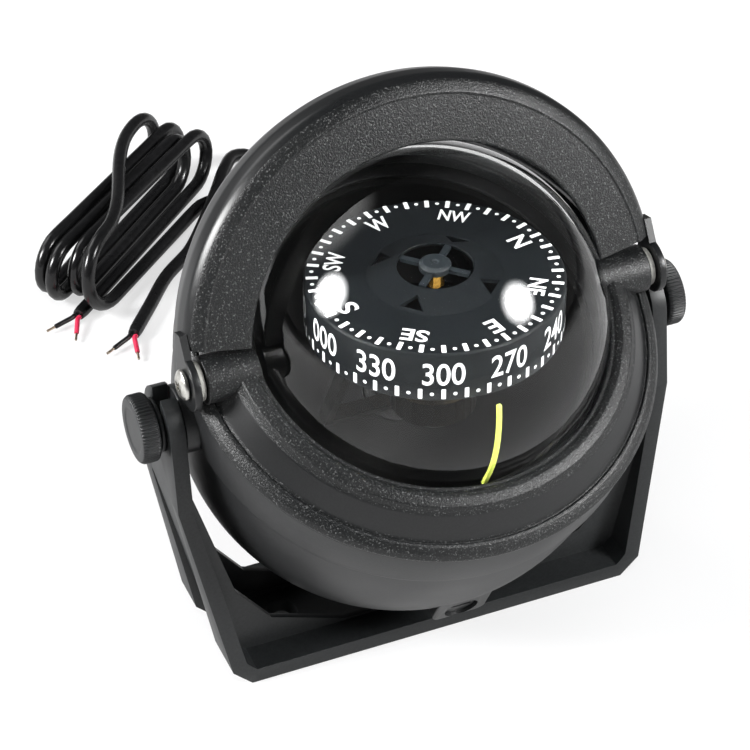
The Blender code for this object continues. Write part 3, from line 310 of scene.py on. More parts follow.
def turned(name, profile, segments, matrix=HERE, edge=None):
    """Solid of revolution about local Z; an end on the axis closes there, else the profile is a loop."""
    verts = []
    rows = []
    for radius, height in profile:
        if radius < 1e-6:
            rows.append([len(verts)] * segments)
            verts.append((0.0, 0.0, height))
            continue
        row = []
        for step in range(segments):
            angle = 2 * math.pi * (step + 0.5) / segments
            at = radius - edge(angle, radius) if edge else radius
            row.append(len(verts))
            verts.append((at * math.cos(angle), at * math.sin(angle), height))
        rows.append(row)
    loop = profile[0][0] > 1e-6
    faces = []
    for i in range(len(rows) if loop else len(rows) - 1):
        low = rows[i]
        high = rows[(i + 1) % len(rows)]
        for step in range(segments):
            nxt = (step + 1) % segments
            corners = [low[step], low[nxt], high[nxt], high[step]]
            face = [c for k, c in enumerate(corners) if c not in corners[:k]]
            if len(face) > 2:
                faces.append(face)
    return add_mesh(name, verts, faces, matrix)


def swept(name, profile, start, end, segments):
    """Part of a turn of the profile about local Z, closed at both ends."""
    verts = []
    for step in range(segments + 1):
        angle = start + (end - start) * step / segments
        verts += [(r * math.cos(angle), r * math.sin(angle), h) for r, h in profile]
    count = len(profile)
    faces = [list(range(count)), list(range(segments * count, (segments + 1) * count))]
    for step in range(segments):
        for i in range(count):
            j = (i + 1) % count
            base = step * count
            faces.append([base + i, base + j, base + count + j, base + count + i])
    return add_mesh(name, verts, faces)


def prism(name, outline, low, high, axis, matrix=HERE):
    """The outline drawn out along an axis from low to high."""
    spot = {"x": lambda a, b, c: (c, a, b), "y": lambda a, b, c: (a, c, b), "z": lambda a, b, c: (a, b, c)}[axis]
    count = len(outline)
    verts = [spot(a, b, low) for a, b in outline] + [spot(a, b, high) for a, b in outline]
    faces = [list(range(count)), list(range(count, 2 * count))]
    faces += [[i, (i + 1) % count, count + (i + 1) % count, count + i] for i in range(count)]
    return add_mesh(name, verts, faces, matrix)


def block(name, x0, x1, y0, y1, z0, z1, matrix=HERE):
    return prism(name, [(x0, y0), (x1, y0), (x1, y1), (x0, y1)], z0, z1, "z", matrix)


def rod(name, radius, low, high, segments=48, matrix=HERE):
    return turned(name, [(0.0, low), (radius, low), (radius, high), (0.0, high)], segments, matrix)


def rounded(width, height, corner, cx=0.0, cy=0.0, steps=8):
    """Outline of a rectangle with round corners."""
    points = []
    for quarter in range(4):
        sx = 1 if quarter in (0, 3) else -1
        sy = 1 if quarter in (0, 1) else -1
        for step in range(steps + 1):
            angle = math.pi / 2 * (quarter + step / steps)
            points.append((cx + sx * (width / 2 - corner) + corner * math.cos(angle),
                           cy + sy * (height / 2 - corner) + corner * math.sin(angle)))
    return points


def baked(obj):
    """The object's mesh with its modifiers worked in."""
    bpy.context.view_layer.update()
    result = bpy.data.meshes.new_from_object(obj.evaluated_get(bpy.context.evaluated_depsgraph_get()))
    obj.modifiers.clear()
    obj.data = result
    return obj


def combine(target, tools, operation):
    """Join the tools to the target or cut them out of it, and use them up."""
    for tool in tools:
        step = target.modifiers.new(operation, "BOOLEAN")
        step.operation = operation
        step.solver = "EXACT"
        step.object = tool
        baked(target)
        clean = bmesh.new()
        clean.from_mesh(target.data)
        bmesh.ops.remove_doubles(clean, verts=clean.verts, dist=0.001)
        bmesh.ops.dissolve_degenerate(clean, edges=clean.edges, dist=0.001)
        clean.to_mesh(target.data)
        clean.free()
        bpy.data.objects.remove(tool, do_unlink=True)
    return target


def bevelled(obj, width, segments=3, angle=30.0):
    step = obj.modifiers.new("bevel", "BEVEL")
    step.width = width
    step.segments = segments
    step.limit_method = "ANGLE"
    step.angle_limit = math.radians(angle)
    return baked(obj)


def dress(obj, matrix, body, mats, nodes=(), sharp=35.0, rule=None):
    """Paint a piece, put it in its place in metres, hang it on its body and let it stand for its nodes."""
    mats = mats if isinstance(mats, list) else [mats]
    obj.data.materials.clear()
    for mat in mats:
        obj.data.materials.append(mat)
    for face in obj.data.polygons:
        face.material_index = rule(face.center, face.normal) if rule else 0
    obj.data.shade_smooth()
    obj.data.set_sharp_from_angle(angle=math.radians(sharp))
    obj.data.transform(Matrix.Scale(MM, 4) @ matrix)
    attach(obj, body)
    if nodes:
        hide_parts(*([nodes] if isinstance(nodes, str) else nodes))
    return obj


def refine(node, body, mat, width, segments=3):
    """The CAD node's own shape with its edges rounded."""
    obj = bpy.data.objects.new(node + "_fine", NODES[node].data.copy())
    bpy.context.scene.collection.objects.link(obj)
    work = bmesh.new()
    work.from_mesh(obj.data)
    bmesh.ops.scale(work, vec=(1000.0, 1000.0, 1000.0), verts=work.verts)
    bmesh.ops.remove_doubles(work, verts=work.verts, dist=0.002)
    bmesh.ops.dissolve_limit(work, angle_limit=math.radians(1.0), verts=work.verts, edges=work.edges)
    bmesh.ops.recalc_face_normals(work, faces=work.faces)
    plain = bpy.data.meshes.new(node + "_fine")
    work.to_mesh(plain)
    work.free()
    obj.data = plain
    bevelled(obj, width, segments, 25.0)
    dress(obj, HERE, body, mat, node)


def mirrored(side, matrix=HERE):
    """Local Z turned outwards on the given side."""
    return matrix @ (ALONG_X if side > 0 else Matrix.Rotation(-math.pi / 2, 4, "Y"))


SIDES = ((-1, "left"), (1, "right"))


# ---------------------------------------------------------------- bracket, knobs and washers

def make_bracket():
    refine("bracket", "bracket_body", BRACKET, 0.7)
    for side, name in SIDES:
        place = mirrored(side, Matrix.Translation(AXIS))
        profile = soften([(2.75, 69.2), (7.2, 69.2), (7.2, 69.95), (6.3, 70.4), (2.75, 70.4)], 0.25)
        dress(turned("washer_" + name, profile, 72), place, "bracket_body", BRACKET, "clamp_washer_" + name)


def make_knobs():
    ridges = 60

    def knurl(angle, radius):
        return 0.42 * (0.5 - 0.5 * math.cos(ridges * angle)) * min(1.0, max(0.0, (radius - 8.0) / 0.8))
    profile = soften([(0.0, 75.2), (5.6, 75.2), (6.2, 75.5), (8.3, 75.5), (8.95, 74.7), (8.95, 71.4), (8.35, 70.7),
                      (2.7, 70.7), (2.7, 73.9), (0.0, 73.9)], 0.35, False)
    for side, name in SIDES:
        knob = turned("thumb_knob_" + name, profile, ridges * 8, HERE, knurl)
        dress(knob, CASE @ mirrored(side), "knob_%s_body" % name, KNOB, "knob_" + name, 50.0)


# ---------------------------------------------------------------- case, bezel and dome

def make_case():
    skin = [(60.3, -1.0), (60.0, -12.0), (58.8, -24.0), (56.3, -34.0), (51.5, -44.0), (44.0, -52.0), (34.0, -57.0),
            (24.0, -58.5)]
    outer = soften([(57.5, 13.2), (61.5, 13.2), (61.5, 0.0), (60.3, -1.0)], 0.5, False)[1:-1]
    outer += [tuple(p) for p in through([(r, s) for r, s in skin], None, 6)]
    inner = [(24.0, -56.0)] + [(r - 2.0, s + 1.6) for r, s in reversed(skin[1:-1])]
    inner += [(57.8, 0.0), (57.8, 10.4), (46.5, 10.4), (46.5, 13.2)]
    case = turned("case_shell", outer + inner, 128)
    drop = -30.5
    front = bevelled(prism("front_pad", rounded(15.0, 18.5, 2.5, 0.0, drop), -57.6, -50.6, "y"), 0.6)
    side_pad = bevelled(prism("side_pad", rounded(15.0, 18.5, 2.5, 10.0, drop), 49.0, 56.0, "x"), 0.6)
    adds = [front, side_pad, rod("gland_boss", 9.0, GLAND_SEAT - 8.5, GLAND_SEAT, 64,
                                 GLAND_TURN)]
    for side, _ in SIDES:
        boss = turned("boss", soften([(0.0, 54.8), (9.0, 54.8), (9.0, 64.4), (0.0, 64.4)], 0.5, False), 64,
                      mirrored(side))
        adds.append(boss)
    combine(case, adds, "UNION")
    low = Matrix.Translation((0.0, 0.0, -35.0))
    across = Matrix.Translation((0.0, 10.0, -35.0))
    cuts = [rod("hole", 4.6, -60.6, -46.6, 48, low @ ALONG_Y), rod("hole", 4.6, 45.0, 59.0, 48, across @ ALONG_X)]
    for side, _ in SIDES:
        cuts.append(rod("bore", 4.45, 51.8, 69.4, 48, mirrored(side)))
    cuts.append(rod("gland_hole", 6.3, GLAND_SEAT - 16, GLAND_SEAT + 5, 48, GLAND_TURN))
    combine(case, cuts, "DIFFERENCE")
    dress(case, CASE, "case_body", CASE_SKIN, "case_lower")
    for name, place, low_end, high_end, face in (
            ("front_plug", low @ ALONG_Y, -56.7, -55.0, -56.7), ("side_plug", across @ ALONG_X, 53.4, 55.1, 55.1)):
        profile = soften([(0.0, low_end), (4.2, low_end), (4.2, high_end), (0.0, high_end)], 0.3, False)
        plug = turned("screw_" + name, profile, 64)
        combine(plug, [block("slot", -3.0, 3.0, -0.5, 0.5, face - 0.7, face + 0.7)], "DIFFERENCE")
        dress(plug, CASE @ place, "case_body", PLUG, name)
    refine("bottom_cover", "case_body", CASE_SKIN, 0.4)
    for i in (1, 2, 3):
        refine("cover_screw_%d" % i, "case_body", STEEL, 0.2, 2)


def make_bezel():
    profile = soften([
        (61.8, 13.5), (61.8, 14.3), (61.0, 15.6), (59.4, 16.9), (58.5, 17.1), (58.2, 16.5), (57.4, 17.4),
        (53.6, 22.7), (52.9, 23.4), (52.0, 24.9), (49.6, 25.6), (48.3, 25.4), (47.7, 24.8), (46.9, 24.9),
        (46.5, 24.5), (46.5, 20.0), (49.5, 20.0), (49.5, 13.5)], 0.35)
    bezel = turned("bezel", profile, 160)
    place = Matrix.Translation((0.0, 0.0, DOME_S))
    barrels = []
    bores = []
    for side, _ in SIDES:
        axis = mirrored(side, place)
        shape = soften([(0.0, 43.0), (6.2, 43.0), (6.2, 60.3), (0.0, 60.3)], 0.5, False)
        barrels.append(turned("barrel", shape, 64, axis))
        bores.append(rod("bore", 1.8, 52.4, 65.3, 32, axis))
    combine(bezel, barrels, "UNION")
    room = turned("room", [(0.0, 5.5), (49.5, 5.5), (49.5, 20.0), (46.5, 20.0), (46.5, 45.6), (0.0, 45.6)], 160)
    combine(bezel, [room] + bores, "DIFFERENCE")

    def rule(at, _):
        reach = math.hypot(at.x, at.y)
        return 1 if 53.5 < reach < 57.5 and abs(at.y) > 6.3 else 0
    dress(bezel, CASE, "case_body", [COARSE, SATIN], "bezel_ring", 35.0, rule)


def make_dome():
    steps = 40

    def arc(radius):
        return [(radius * math.cos(math.pi / 2 * i / steps) if i < steps else 0.0,
                 DOME_S + radius * math.sin(math.pi / 2 * i / steps)) for i in range(steps + 1)]
    flange = [(DOME_R, 19.7), (49.0, 19.7), (49.0, 17.0), (DOME_INSIDE, 17.0)]
    profile = arc(DOME_R)[::-1] + flange + arc(DOME_INSIDE)
    dome = turned("dome_shell", profile, 144)

    def rule(at, normal):
        return 1 if normal.dot(at - Vector((0.0, 0.0, DOME_S))) < 0.0 else 0
    dress(dome, CASE, "case_body", [ACRYLIC, ACRYLIC_IN], "dome", 35.0, rule)
    dome.visible_shadow = False
    seal = turned("seal_ring", soften([(44.5, 15.4), (48.8, 15.4), (48.8, 16.7), (44.5, 16.7)], 0.4), 96)
    dress(seal, CASE, "case_body", RUBBER, "dome_seal")


def make_bowl():
    reach = 45.0
    floor = DOME_S - reach + 4.5
    start = math.asin((DOME_S - 15.1) / reach)
    stop = math.acos(9.0 / reach)
    curve = []
    for i in range(25):
        angle = start + (stop - start) * i / 24
        curve.append((reach * math.cos(angle) - 1.0, max(DOME_S - reach * math.sin(angle), floor)))
    inner = [(43.0, 15.1)] + curve[1:-1] + [(9.0, floor)]
    outer = [(r + 1.05, h - 1.5) for r, h in curve[6:-1]]
    profile = [(48.8, 15.1)] + inner + [(9.0, floor - 1.5)] + list(reversed(outer)) + [(44.5, 13.8), (48.8, 13.8)]
    dress(turned("bowl", profile, 96), CASE, "case_body", BOWL, "inner_bowl")
    low = floor - 1.5
    rings = [(0.0, low), (8.6, low), (8.6, floor - 0.1), (7.2, floor - 0.1), (6.6, floor - 0.7), (5.4, floor - 0.7),
             (4.8, floor - 0.1), (3.6, floor - 0.1), (3.0, floor - 0.7), (0.0, floor - 0.7)]
    dress(turned("bellows", soften(rings, 0.3, False), 72), CASE, "case_body", RUBBER, "diaphragm")
    refine("lubber_line", "case_body", YELLOW, 0.25, 3)


# ---------------------------------------------------------------- hood and its pivots

def make_hood():
    profile = soften([
        (47.7, 4.1), (59.3, 2.75), (59.8, 2.95), (60.3, 2.7), (62.6, 1.3), (64.0, -0.8), (64.2, -5.1),
        (63.3, -10.1), (60.8, -16.0), (57.6, -19.5), (56.4, -18.0), (59.2, -15.2), (61.6, -9.6), (62.3, -5.1),
        (62.3, -0.9), (61.0, 0.3), (47.7, 2.3)], 0.9)
    first = math.asin(6.5 / 47.7)       # keeps the ends 6.5 clear of the hinge axis
    hood = swept("hood_shell", profile, first, math.pi - first, 120)
    keep = block("keep", -90, 90, -90, 90, -90, -2.0, Matrix.Rotation(-math.radians(37.7), 4, "X"))
    combine(hood, [keep], "DIFFERENCE")
    ears = []
    holes = []
    near, far = 62.3, 64.2              # the ears' inner and outer faces
    for side, _ in SIDES:
        axis = mirrored(side)
        shape = soften([(0.0, near), (7.0, near), (7.0, far), (0.0, far)], 0.4, False)
        ears.append(turned("ear", shape, 64, axis))
        lug = [(0.0, -6.0), (12.7, -3.5), (12.7, 0.2), (0.0, 4.0)]
        low = near if side > 0 else -far
        ears.append(prism("lug", lug, low, low + 1.9, "x"))
        holes.append(rod("hole", 2.0, 58.0, 68.0, 32, axis))
    combine(hood, ears, "UNION")
    combine(hood, holes, "DIFFERENCE")

    def rule(at, normal):
        return 1 if math.hypot(at.x, at.y) < 62.8 and normal.z > 0.5 and at.z > 1.0 else 0
    dress(hood, HOOD, "hood_body", [SATIN, COARSE], "hood", 35.0, rule)
    place = Matrix.Translation((0.0, 0.0, DOME_S))
    for side, name in SIDES:
        head = soften([(0.0, 53.0), (1.5, 53.0), (1.5, 64.5), (4.0, 64.5), (4.0, 65.4), (2.6, 66.3), (0.0, 66.4)],
                      0.5, False)
        screw = turned("pivot_" + name, head, 64)
        cross = [block("cross", -1.7, 1.7, -0.4, 0.4, 65.3, 67.5), block("cross", -0.4, 0.4, -1.7, 1.7, 65.3, 67.5)]
        combine(screw, cross, "DIFFERENCE")
        dress(screw, CASE @ mirrored(side, place), "case_body", STEEL, "hood_screw_" + name)
        ring = soften([(1.8, 60.6), (5.0, 60.6), (5.0, 62.0), (1.8, 62.0)], 0.3)
        dress(turned("spacer_" + name, ring, 64), CASE @ mirrored(side, place), "case_body", NYLON,
              "hood_washer_" + name)


# ---------------------------------------------------------------- card

def glyph(text, width, height, bold):
    """Flat outline of some letters as (verts, faces), centred, at a set width and height."""
    curve = bpy.data.curves.new("glyph", "FONT")
    curve.body = text
    curve.resolution_u = 6
    curve.offset = bold
    obj = bpy.data.objects.new("glyph", curve)
    bpy.context.scene.collection.objects.link(obj)
    bpy.context.view_layer.update()
    mesh = bpy.data.meshes.new_from_object(obj.evaluated_get(bpy.context.evaluated_depsgraph_get()))
    xs = [v.co.x for v in mesh.vertices]
    ys = [v.co.y for v in mesh.vertices]
    verts = [((v.co.x - (min(xs) + max(xs)) / 2) * width / (max(xs) - min(xs)),
              (v.co.y - (min(ys) + max(ys)) / 2) * height / (max(ys) - min(ys))) for v in mesh.vertices]
    faces = [list(face.vertices) for face in mesh.polygons]
    bpy.data.objects.remove(obj, do_unlink=True)
    bpy.data.curves.remove(curve)
    bpy.data.meshes.remove(mesh)
    return verts, faces


class Print:
    """Thin printed marks on the card's flat top and on its band, by compass angle."""

    def __init__(self, heading, radius):
        self.heading = heading
        self.radius = radius
        self.verts = []
        self.faces = []

    def add(self, verts, faces):
        base = len(self.verts)
        self.verts += verts
        self.faces += [[base + i for i in face] for face in faces]

    def top(self, verts, faces, degrees, out):
        """Marks with their heads outwards, on the flat top."""
        angle = math.radians(self.heading + degrees)
        way = Vector((math.sin(angle), math.cos(angle)))
        side = Vector((math.cos(angle), -math.sin(angle)))
        self.add([(*(way * (out + y) + side * x), 0.09) for x, y in verts], faces)

    def band(self, verts, faces, degrees, height):
        """Marks on the band, read from in front of it."""
        out = []
        for x, y in verts:
            angle = math.radians(self.heading + degrees) - x / self.radius
            reach = self.radius + 0.09
            out.append((reach * math.sin(angle), reach * math.cos(angle), height + y))
        self.add(out, faces)


def slab(width, height):
    """A small rectangle with rounded corners."""
    points = rounded(width, height, 0.18, 0.0, 0.0, 3)
    return points, [list(range(len(points)))]


def disc(radius):
    points = [(radius * math.cos(k * math.pi / 8), radius * math.sin(k * math.pi / 8)) for k in range(16)]
    return points, [list(range(16))]


def make_card():
    radius = 32.4
    profile = soften([
        (9.5, 2.8), (17.0, 0.0), (radius - 0.6, 0.0), (radius, -0.6), (radius, -14.0), (radius - 0.8, -14.0),
        (radius - 0.8, -1.0), (16.8, -1.0), (9.5, 1.8)], 0.35)
    card = turned("card_disc", profile, 160)
    windows = []
    for i in range(4):
        turn = Matrix.Rotation(math.pi / 2 * (i + 0.5), 4, "Z")
        windows.append(prism("window", [(11.8, 0.0), (15.8, -3.2), (15.8, 3.2)], -4.0, 6.8, "z", turn))
    combine(card, windows, "DIFFERENCE")
    dress(card, CARD, "card_body", DIAL, "card")
    spider = turned("spider", soften([(0.0, 1.8), (4.0, 1.8), (4.0, 3.4), (3.0, 4.0), (1.0, 4.0), (0.6, 3.7),
                                      (0.0, 3.7)], 0.25, False), 64)
    spokes = []
    for i in range(4):
        turn = Matrix.Rotation(math.pi / 2 * (i + 0.5), 4, "Z")
        spokes.append(block("spoke", 2.5, 9.0, -0.8, 0.8, 1.9, 2.9, turn))
    combine(spider, spokes, "UNION")
    dress(spider, CARD, "card_body", SPIDER, "card_spider")

    marks = Print(80.0, radius)
    for k in range(72):
        if k % 2:
            marks.top(*disc(0.52), k * 5, radius - 2.0)
            marks.band(*disc(0.52), k * 5, -11.9)
        else:
            marks.top(*slab(1.15, 3.0), k * 5, radius - 2.1)
            marks.band(*slab(1.1, 3.0), k * 5, -11.9)
    winds = (("N", 4.3), ("NE", 6.9), ("E", 3.3), ("SE", 6.7), ("S", 3.6), ("SW", 7.7), ("W", 5.8), ("NW", 7.9))
    for k, (text, width) in enumerate(winds):
        marks.top(*glyph(text, width, 5.2 if len(text) == 1 else 4.6, 0.022), k * 45, 25.4)
    for k in range(12):
        marks.band(*glyph("%03d" % (k * 30), 10.4, 6.6, 0.012), k * 30 - 180, -6.0)
    piece = add_mesh("card_marks", marks.verts, marks.faces)
    dress(piece, CARD, "card_body", WHITE, ())


# ---------------------------------------------------------------- inner works

def make_inner():
    kept = {
        # the yoke, ring and counterweight take the darkened brass, the hub and pins plain brass
        "gimbal_yoke": DARK_BRASS, "gimbal_ring": DARK_BRASS, "gimbal_hub": BRASS, "counterweight": DARK_BRASS,
        "pivot_pin": BRASS, "gimbal_pin_left": DARK_STEEL, "gimbal_pin_right": DARK_STEEL, "jewel_cup": BRASS,
        "card_magnet_left": DARK_STEEL, "card_magnet_right": DARK_STEEL, "knob_stud_left": BRASS,
        "knob_stud_right": BRASS, "trunnion_insert_left": BRASS, "trunnion_insert_right": BRASS,
        "compensator_rod_front": BRASS, "compensator_rod_side": BRASS, "compensator_magnet_front": STEEL,
        "compensator_magnet_side": STEEL, "lamp_holder": PLUG, "lamp_bulb": LAMP}
    for name, mat in kept.items():
        mesh = NODES[name].data
        mesh.materials.clear()
        mesh.materials.append(mat)


# ---------------------------------------------------------------- leads

LOW = 2.2                           # centre height of a lead on the floor
CORD = 4.2
LEAD_X = 3.2                        # each lead beside the gland's middle
HANK_AT = (-16.0, 180.0)
HANK_TURN = math.radians(41.0)


def make_gland():
    seat = GLAND_SEAT + 0.3
    nose = seat + 1.8
    profile = [(0.0, seat - 9.3), (6.0, seat - 9.3), (6.0, seat), (8.0, seat), (8.0, nose), (6.6, nose),
               (6.45, nose + 0.7), (5.9, nose + 0.9), (5.85, nose + 1.4), (6.3, nose + 1.6), (6.15, nose + 2.3),
               (5.6, nose + 2.5), (5.55, nose + 3.0), (6.0, nose + 3.2), (5.8, nose + 4.4), (0.0, nose + 4.4)]
    dress(turned("gland_boot", soften(profile, 0.3, False), 72), GLAND, "case_body", RUBBER, "cable_gland")
    return nose + 4.7


def hank_place(along, across, height):
    """A point of the hank in the model's frame."""
    forward = Vector((math.cos(HANK_TURN), math.sin(HANK_TURN), 0.0))
    right = Vector((math.sin(HANK_TURN), -math.cos(HANK_TURN), 0.0))
    return Vector((*HANK_AT, height)) + forward * along + right * across


def fold(centre, radius, upper, up, steps):
    """Half a turn at an end of the hank, as (along, height)."""
    points = []
    for i in range(1, steps):
        angle = math.pi * i / steps
        height = LOW + radius + (-radius if up else radius) * math.cos(angle)
        reach = radius * math.sin(angle)
        points.append((centre + reach if upper else centre - reach, height))
    return points


def hank_route():
    """Floor run, one strand laid over the bundle, then loops side by side, and the tail."""
    turns, pitch, half, bend = 3, 4.9, 31.0, 8.85
    over_bend = bend + pitch / 2
    first = -pitch * turns / 2 - 2.7
    side = first + pitch * turns + pitch + 0.4
    far = first - 3.9
    route = [(6.0 - i * (half + 6.0) / 6, side, LOW) for i in range(7)]
    for i, (along, height) in enumerate(fold(-half, over_bend, False, True, 7)):
        route.append((along, side - 2.6 * (i + 1) / 7, height))
    entry = side - 2.6
    for i in range(10):
        t = i / 9
        ease = t * t * (3 - 2 * t)
        route.append((-half + (2 * half - 4.0) * t, entry + (far - entry) * ease, LOW + 2 * over_bend))
    route += [(along, far, height) for along, height in fold(half - 4.0, over_bend, True, False, 7)]
    for i in range(6):
        t = i / 6
        ease = t * t * (3 - 2 * t)
        route.append((half - 4.0 - (2 * half - 4.0) * t, far + (first - far) * ease, LOW))
    for turn in range(turns):
        reach = half + 3.0 * math.sin(2.4 * turn)
        last = half + 3.0 * math.sin(2.4 * (turn + 1))
        loop = [(-reach, LOW)] + fold(-reach, bend, False, True, 6)
        loop += [(-reach + (reach + last) * i / 6, LOW + 2 * bend) for i in range(7)]
        loop += fold(last, bend, True, False, 6)
        loop += [(last - (last + reach) * i / 6, LOW) for i in range(6)]
        route += [(along, first + pitch * (turn + i / len(loop)), height) for i, (along, height) in enumerate(loop)]
    tail = first + pitch * turns
    route += [(-half, tail, LOW), (-half - 6.0, tail, LOW), (-half - 12.0, tail, LOW)]
    return [hank_place(*point) for point in route]


def tube(name, points, radius, sides=16, twist=None):
    """Round tube along the points, with rounded ends; twist shifts the centre round the path."""
    rings = []
    ahead = (points[1] - points[0]).normalized()
    normal = ahead.orthogonal().normalized()
    for i, point in enumerate(points):
        way = points[min(i + 1, len(points) - 1)] - points[max(i - 1, 0)]
        way.normalize()
        normal = (normal - way * normal.dot(way)).normalized()
        beside = way.cross(normal)
        if twist:
            point = point + (normal * math.cos(twist(i)) + beside * math.sin(twist(i))) * radius * 1.6
        rings.append((point, way, normal, beside))
    caps = [(math.sin(k * math.pi / 6), math.cos(k * math.pi / 6)) for k in range(1, 3)]
    rows = []
    start, end = rings[0], rings[-1]
    rows += [(start, r, radius * 0.25 * (1.0 - h)) for r, h in caps]
    rows += [(ring, 1.0, 0.0) for ring in rings]
    rows += [(end, r, -radius * 0.25 * (1.0 - h)) for r, h in reversed(caps)]
    rows = [rows[k] for k in range(len(rows)) if k not in (len(caps), len(rows) - len(caps) - 1)]
    verts = []
    for (point, way, normal, beside), size, back in rows:
        for k in range(sides):
            angle = 2 * math.pi * k / sides
            verts.append(point + way * back + (normal * math.cos(angle) + beside * math.sin(angle)) * radius * size)
    faces = [list(range(sides)), list(range(len(verts) - sides, len(verts)))]
    for row in range(len(rows) - 1):
        for k in range(sides):
            n = (k + 1) % sides
            faces.append([row * sides + k, row * sides + n, (row + 1) * sides + n, (row + 1) * sides + k])
    return add_mesh(name, verts, faces)


def soft_piece(obj, mat, nodes):
    obj.data.materials.append(mat)
    obj.data.shade_smooth()
    obj.data.set_sharp_from_angle(angle=math.radians(50))
    obj.data.transform(Matrix.Scale(MM, 4))
    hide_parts(*nodes)
    return obj


def lead_end(name, route):
    """The two stripped conductors past the jacket's end, each with its bare strands."""
    ahead = (route[-1] - route[-2]).normalized()
    beside = Vector((-ahead.y, ahead.x, 0.0))
    made = []
    for colour, side, mat in (("red", 1, CORE_RED), ("black", -1, CORE_BLACK)):
        at = route[-1] + ahead * 0.3 + beside * side * 0.95
        fan = ahead + beside * side * 0.5 - Vector((0.0, 0.0, 0.12))
        way = [at, at + ahead * 1.5, at + ahead * 1.5 + fan * 2.8, at + ahead * 1.5 + fan * 5.6]
        way = [Vector((p.x, p.y, max(p.z, 0.85))) for p in way]
        core = tube("core_%s_%s_fine" % (name, colour), through(way, 0.4), 0.75, 14)
        soft_piece(core, mat, ["core_%s_%s" % (name, colour)])
        run = (way[-1] - way[-2]).normalized()
        tip = [way[-1] + run * (0.1 + 2.8 * k / 10) for k in range(11)]
        strands = [tube("strand", tip, 0.16, 8, lambda i, s=s: 2 * math.pi * s / 5 + 0.35 * i) for s in range(5)]
        for strand in strands[1:]:
            join = bmesh.new()
            join.from_mesh(strands[0].data)
            join.from_mesh(strand.data)
            join.to_mesh(strands[0].data)
            join.free()
            bpy.data.objects.remove(strand, do_unlink=True)
        strands[0].name = "tip_%s_%s_fine" % (name, colour)
        soft_piece(strands[0], COPPER, ["tip_%s_%s" % (name, colour)])
        for piece in (core, strands[0]):
            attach(piece, "bracket_body")
        made += [core, strands[0]]
    return made


def make_leads(start):
    def leave(x):
        return [GLAND @ Vector((x, 0.0, start + d)) for d in (0.0, CORD, 2 * CORD)]
    short = leave(LEAD_X) + [
        (6.0, 103.0, 52.0), (11.0, 122.0, 30.0), (18.0, 141.0, 10.0), (25.5, 160.0, LOW), (31.5, 176.0, LOW),
        (35.0, 189.5, LOW), (36.5, 199.5, LOW), (33.0, 206.5, LOW + 1.5), (26.5, 204.6, LOW + 4.2),
        (20.5, 196.8, LOW + 5.4), (14.0, 187.0, LOW + 4.6), (6.0, 176.9, LOW + 1.6), (-3.0, 166.2, LOW),
        (-14.0, 156.5, LOW), (-23.5, 144.6, LOW), (-30.5, 135.9, LOW), (-33.1, 132.6, LOW)]
    hank = hank_route()
    heading = (hank[1] - hank[0]).normalized()
    last = [hank[0] - heading * (0.3 + CORD * k) for k in (3.0, 1.5)]
    long = leave(-LEAD_X) + [
        (-1.0, 103.0, 51.0), (4.0, 122.0, 29.0), (11.0, 141.0, 9.5), (18.0, 158.0, LOW), (22.5, 173.0, LOW),
        (22.2, 183.3, LOW), (16.9, 188.7, LOW), (10.2, 188.7, LOW)] + last + hank
    for name, route, nodes, lay in (("short", short, ["lead_short"], "loose"),
                                    ("long", long, ["lead_long", "lead_long_hank"], "coiled")):
        path = [Vector((p.x, p.y, max(p.z, LOW))) for p in through(route, 2.5)]
        lead = tube("lead_%s_jacket" % name, path, CORD / 2, 18)
        soft_piece(lead, JACKET, nodes)
        ends = lead_end(name, [Vector(p) for p in route])
        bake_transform(lead)


# ---------------------------------------------------------------- studio

def make_camera():
    data = bpy.data.cameras.new("camera")
    data.sensor_width = 36.0
    data.lens = 142.53
    camera = bpy.data.objects.new("camera", data)
    bpy.context.scene.collection.objects.link(camera)
    camera.location = (-0.2450, -0.5502, 0.5423)
    aim = Vector((0.00005, 0.0252, 0.0537)) - camera.location
    camera.rotation_euler = aim.to_track_quat("-Z", "Y").to_euler()
    bpy.context.scene.camera = camera


def lamp(name, way, distance, size, power, glossy=True):
    """Round softbox that fades towards its rim."""
    data = bpy.data.lights.new(name, "AREA")
    data.shape = "DISK"
    data.size = size
    data.energy = power
    data.use_nodes = True
    n = Nodes(data.node_tree)
    away = n.node("ShaderNodeVectorMath")
    away.operation = "DISTANCE"
    away.inputs[1].default_value = (0.5, 0.5, 0.0)
    n.link(n.node("ShaderNodeNewGeometry").outputs["Parametric"], away.inputs[0])
    n.link(n.fade(away.outputs["Value"], (0.2, 0.5), (1.0, 0.0)), n.tree.nodes["Emission"].inputs["Strength"])
    obj = bpy.data.objects.new(name, data)
    bpy.context.scene.collection.objects.link(obj)
    centre = DOME * MM
    obj.location = centre + Vector(way).normalized() * distance
    obj.rotation_euler = (centre - obj.location).to_track_quat("-Z", "Y").to_euler()
    obj.visible_glossy = glossy


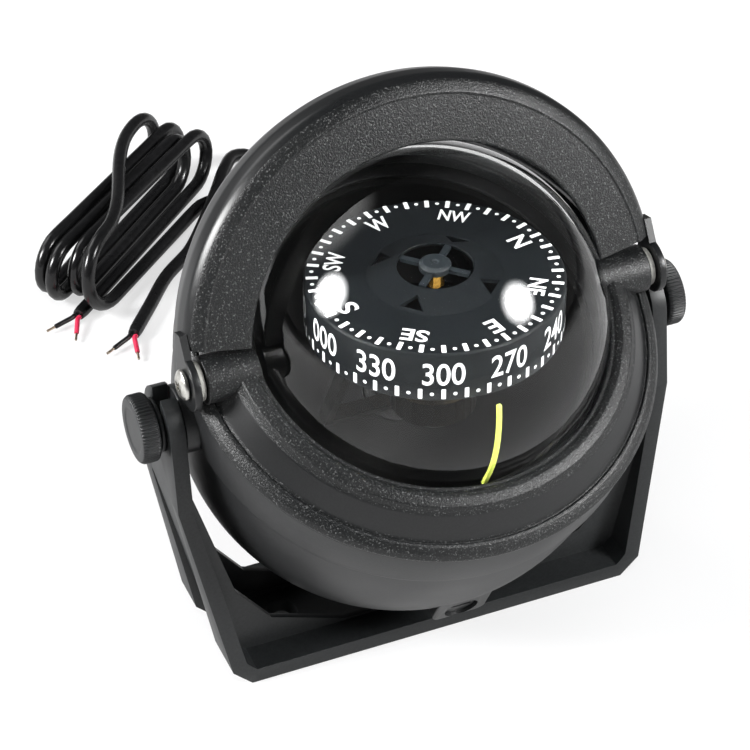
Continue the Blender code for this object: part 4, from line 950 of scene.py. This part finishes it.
def make_studio():
    bpy.context.scene.view_settings.view_transform = "Standard"
    lamp("left_softbox", (-0.873, 0.154, 0.463), 1.1, 0.52, 38.0)
    lamp("right_softbox", (0.636, -0.616, 0.465), 1.1, 0.52, 32.0)
    lamp("top_fill", (-0.1, -0.45, 1.0), 1.5, 1.4, 18.0, False)
    lamp("back_softbox", (-0.45, 0.72, 0.54), 1.6, 1.4, 12.0)
    world = bpy.data.worlds.new("studio")
    bpy.context.scene.world = world
    world.use_nodes = True
    n = Nodes(world.node_tree)
    split = n.node("ShaderNodeSeparateXYZ")
    n.link(n.node("ShaderNodeTexCoord").outputs["Generated"], split.inputs["Vector"])
    sky = n.ramp(split.outputs["Z"], (0.0, (0.16, 0.16, 0.16)), (0.5, (0.07, 0.07, 0.072)))
    n.link(sky, n.tree.nodes["Background"].inputs["Color"])

    wide = 5.0
    floor = add_mesh("floor", [(-wide, -wide, 0), (wide, -wide, 0), (wide, wide, 0), (-wide, wide, 0)], [[0, 1, 2, 3]])
    floor.location.z = -0.0002
    s = Surface("floor_white")
    s.give("Base Color", s.ramp(s.noise(6.0, 3.0), (0.3, (0.33, 0.33, 0.332)), (0.7, (0.36, 0.36, 0.362))))
    s.set("Roughness", 0.9)
    s.set("Specular IOR Level", 0.1)
    path = s.tree.nodes.new("ShaderNodeLightPath").outputs
    away = s.sums("LENGTH", s.coords, kind="ShaderNodeVectorMath")
    seen = s.sums("MAXIMUM", path["Is Camera Ray"], path["Is Transmission Ray"])
    seen = s.sums("MULTIPLY", seen, s.fade(away, (0.5, 1.5), (0.6, 1.0)))
    gleam = s.sums("MULTIPLY", path["Is Glossy Ray"], s.fade(away, (0.75, 0.95), (0.3, 0.0)))
    lift = s.sums("MAXIMUM", seen, gleam)
    s.set("Emission Color", (1.0, 1.0, 1.0, 1.0))
    s.give("Emission Strength", lift)
    floor.data.materials.append(s.mat)


make_camera()
make_leads(make_gland())
make_bracket()
make_knobs()
make_case()
make_bezel()
make_dome()
make_bowl()
make_hood()
make_card()
make_inner()
make_studio()
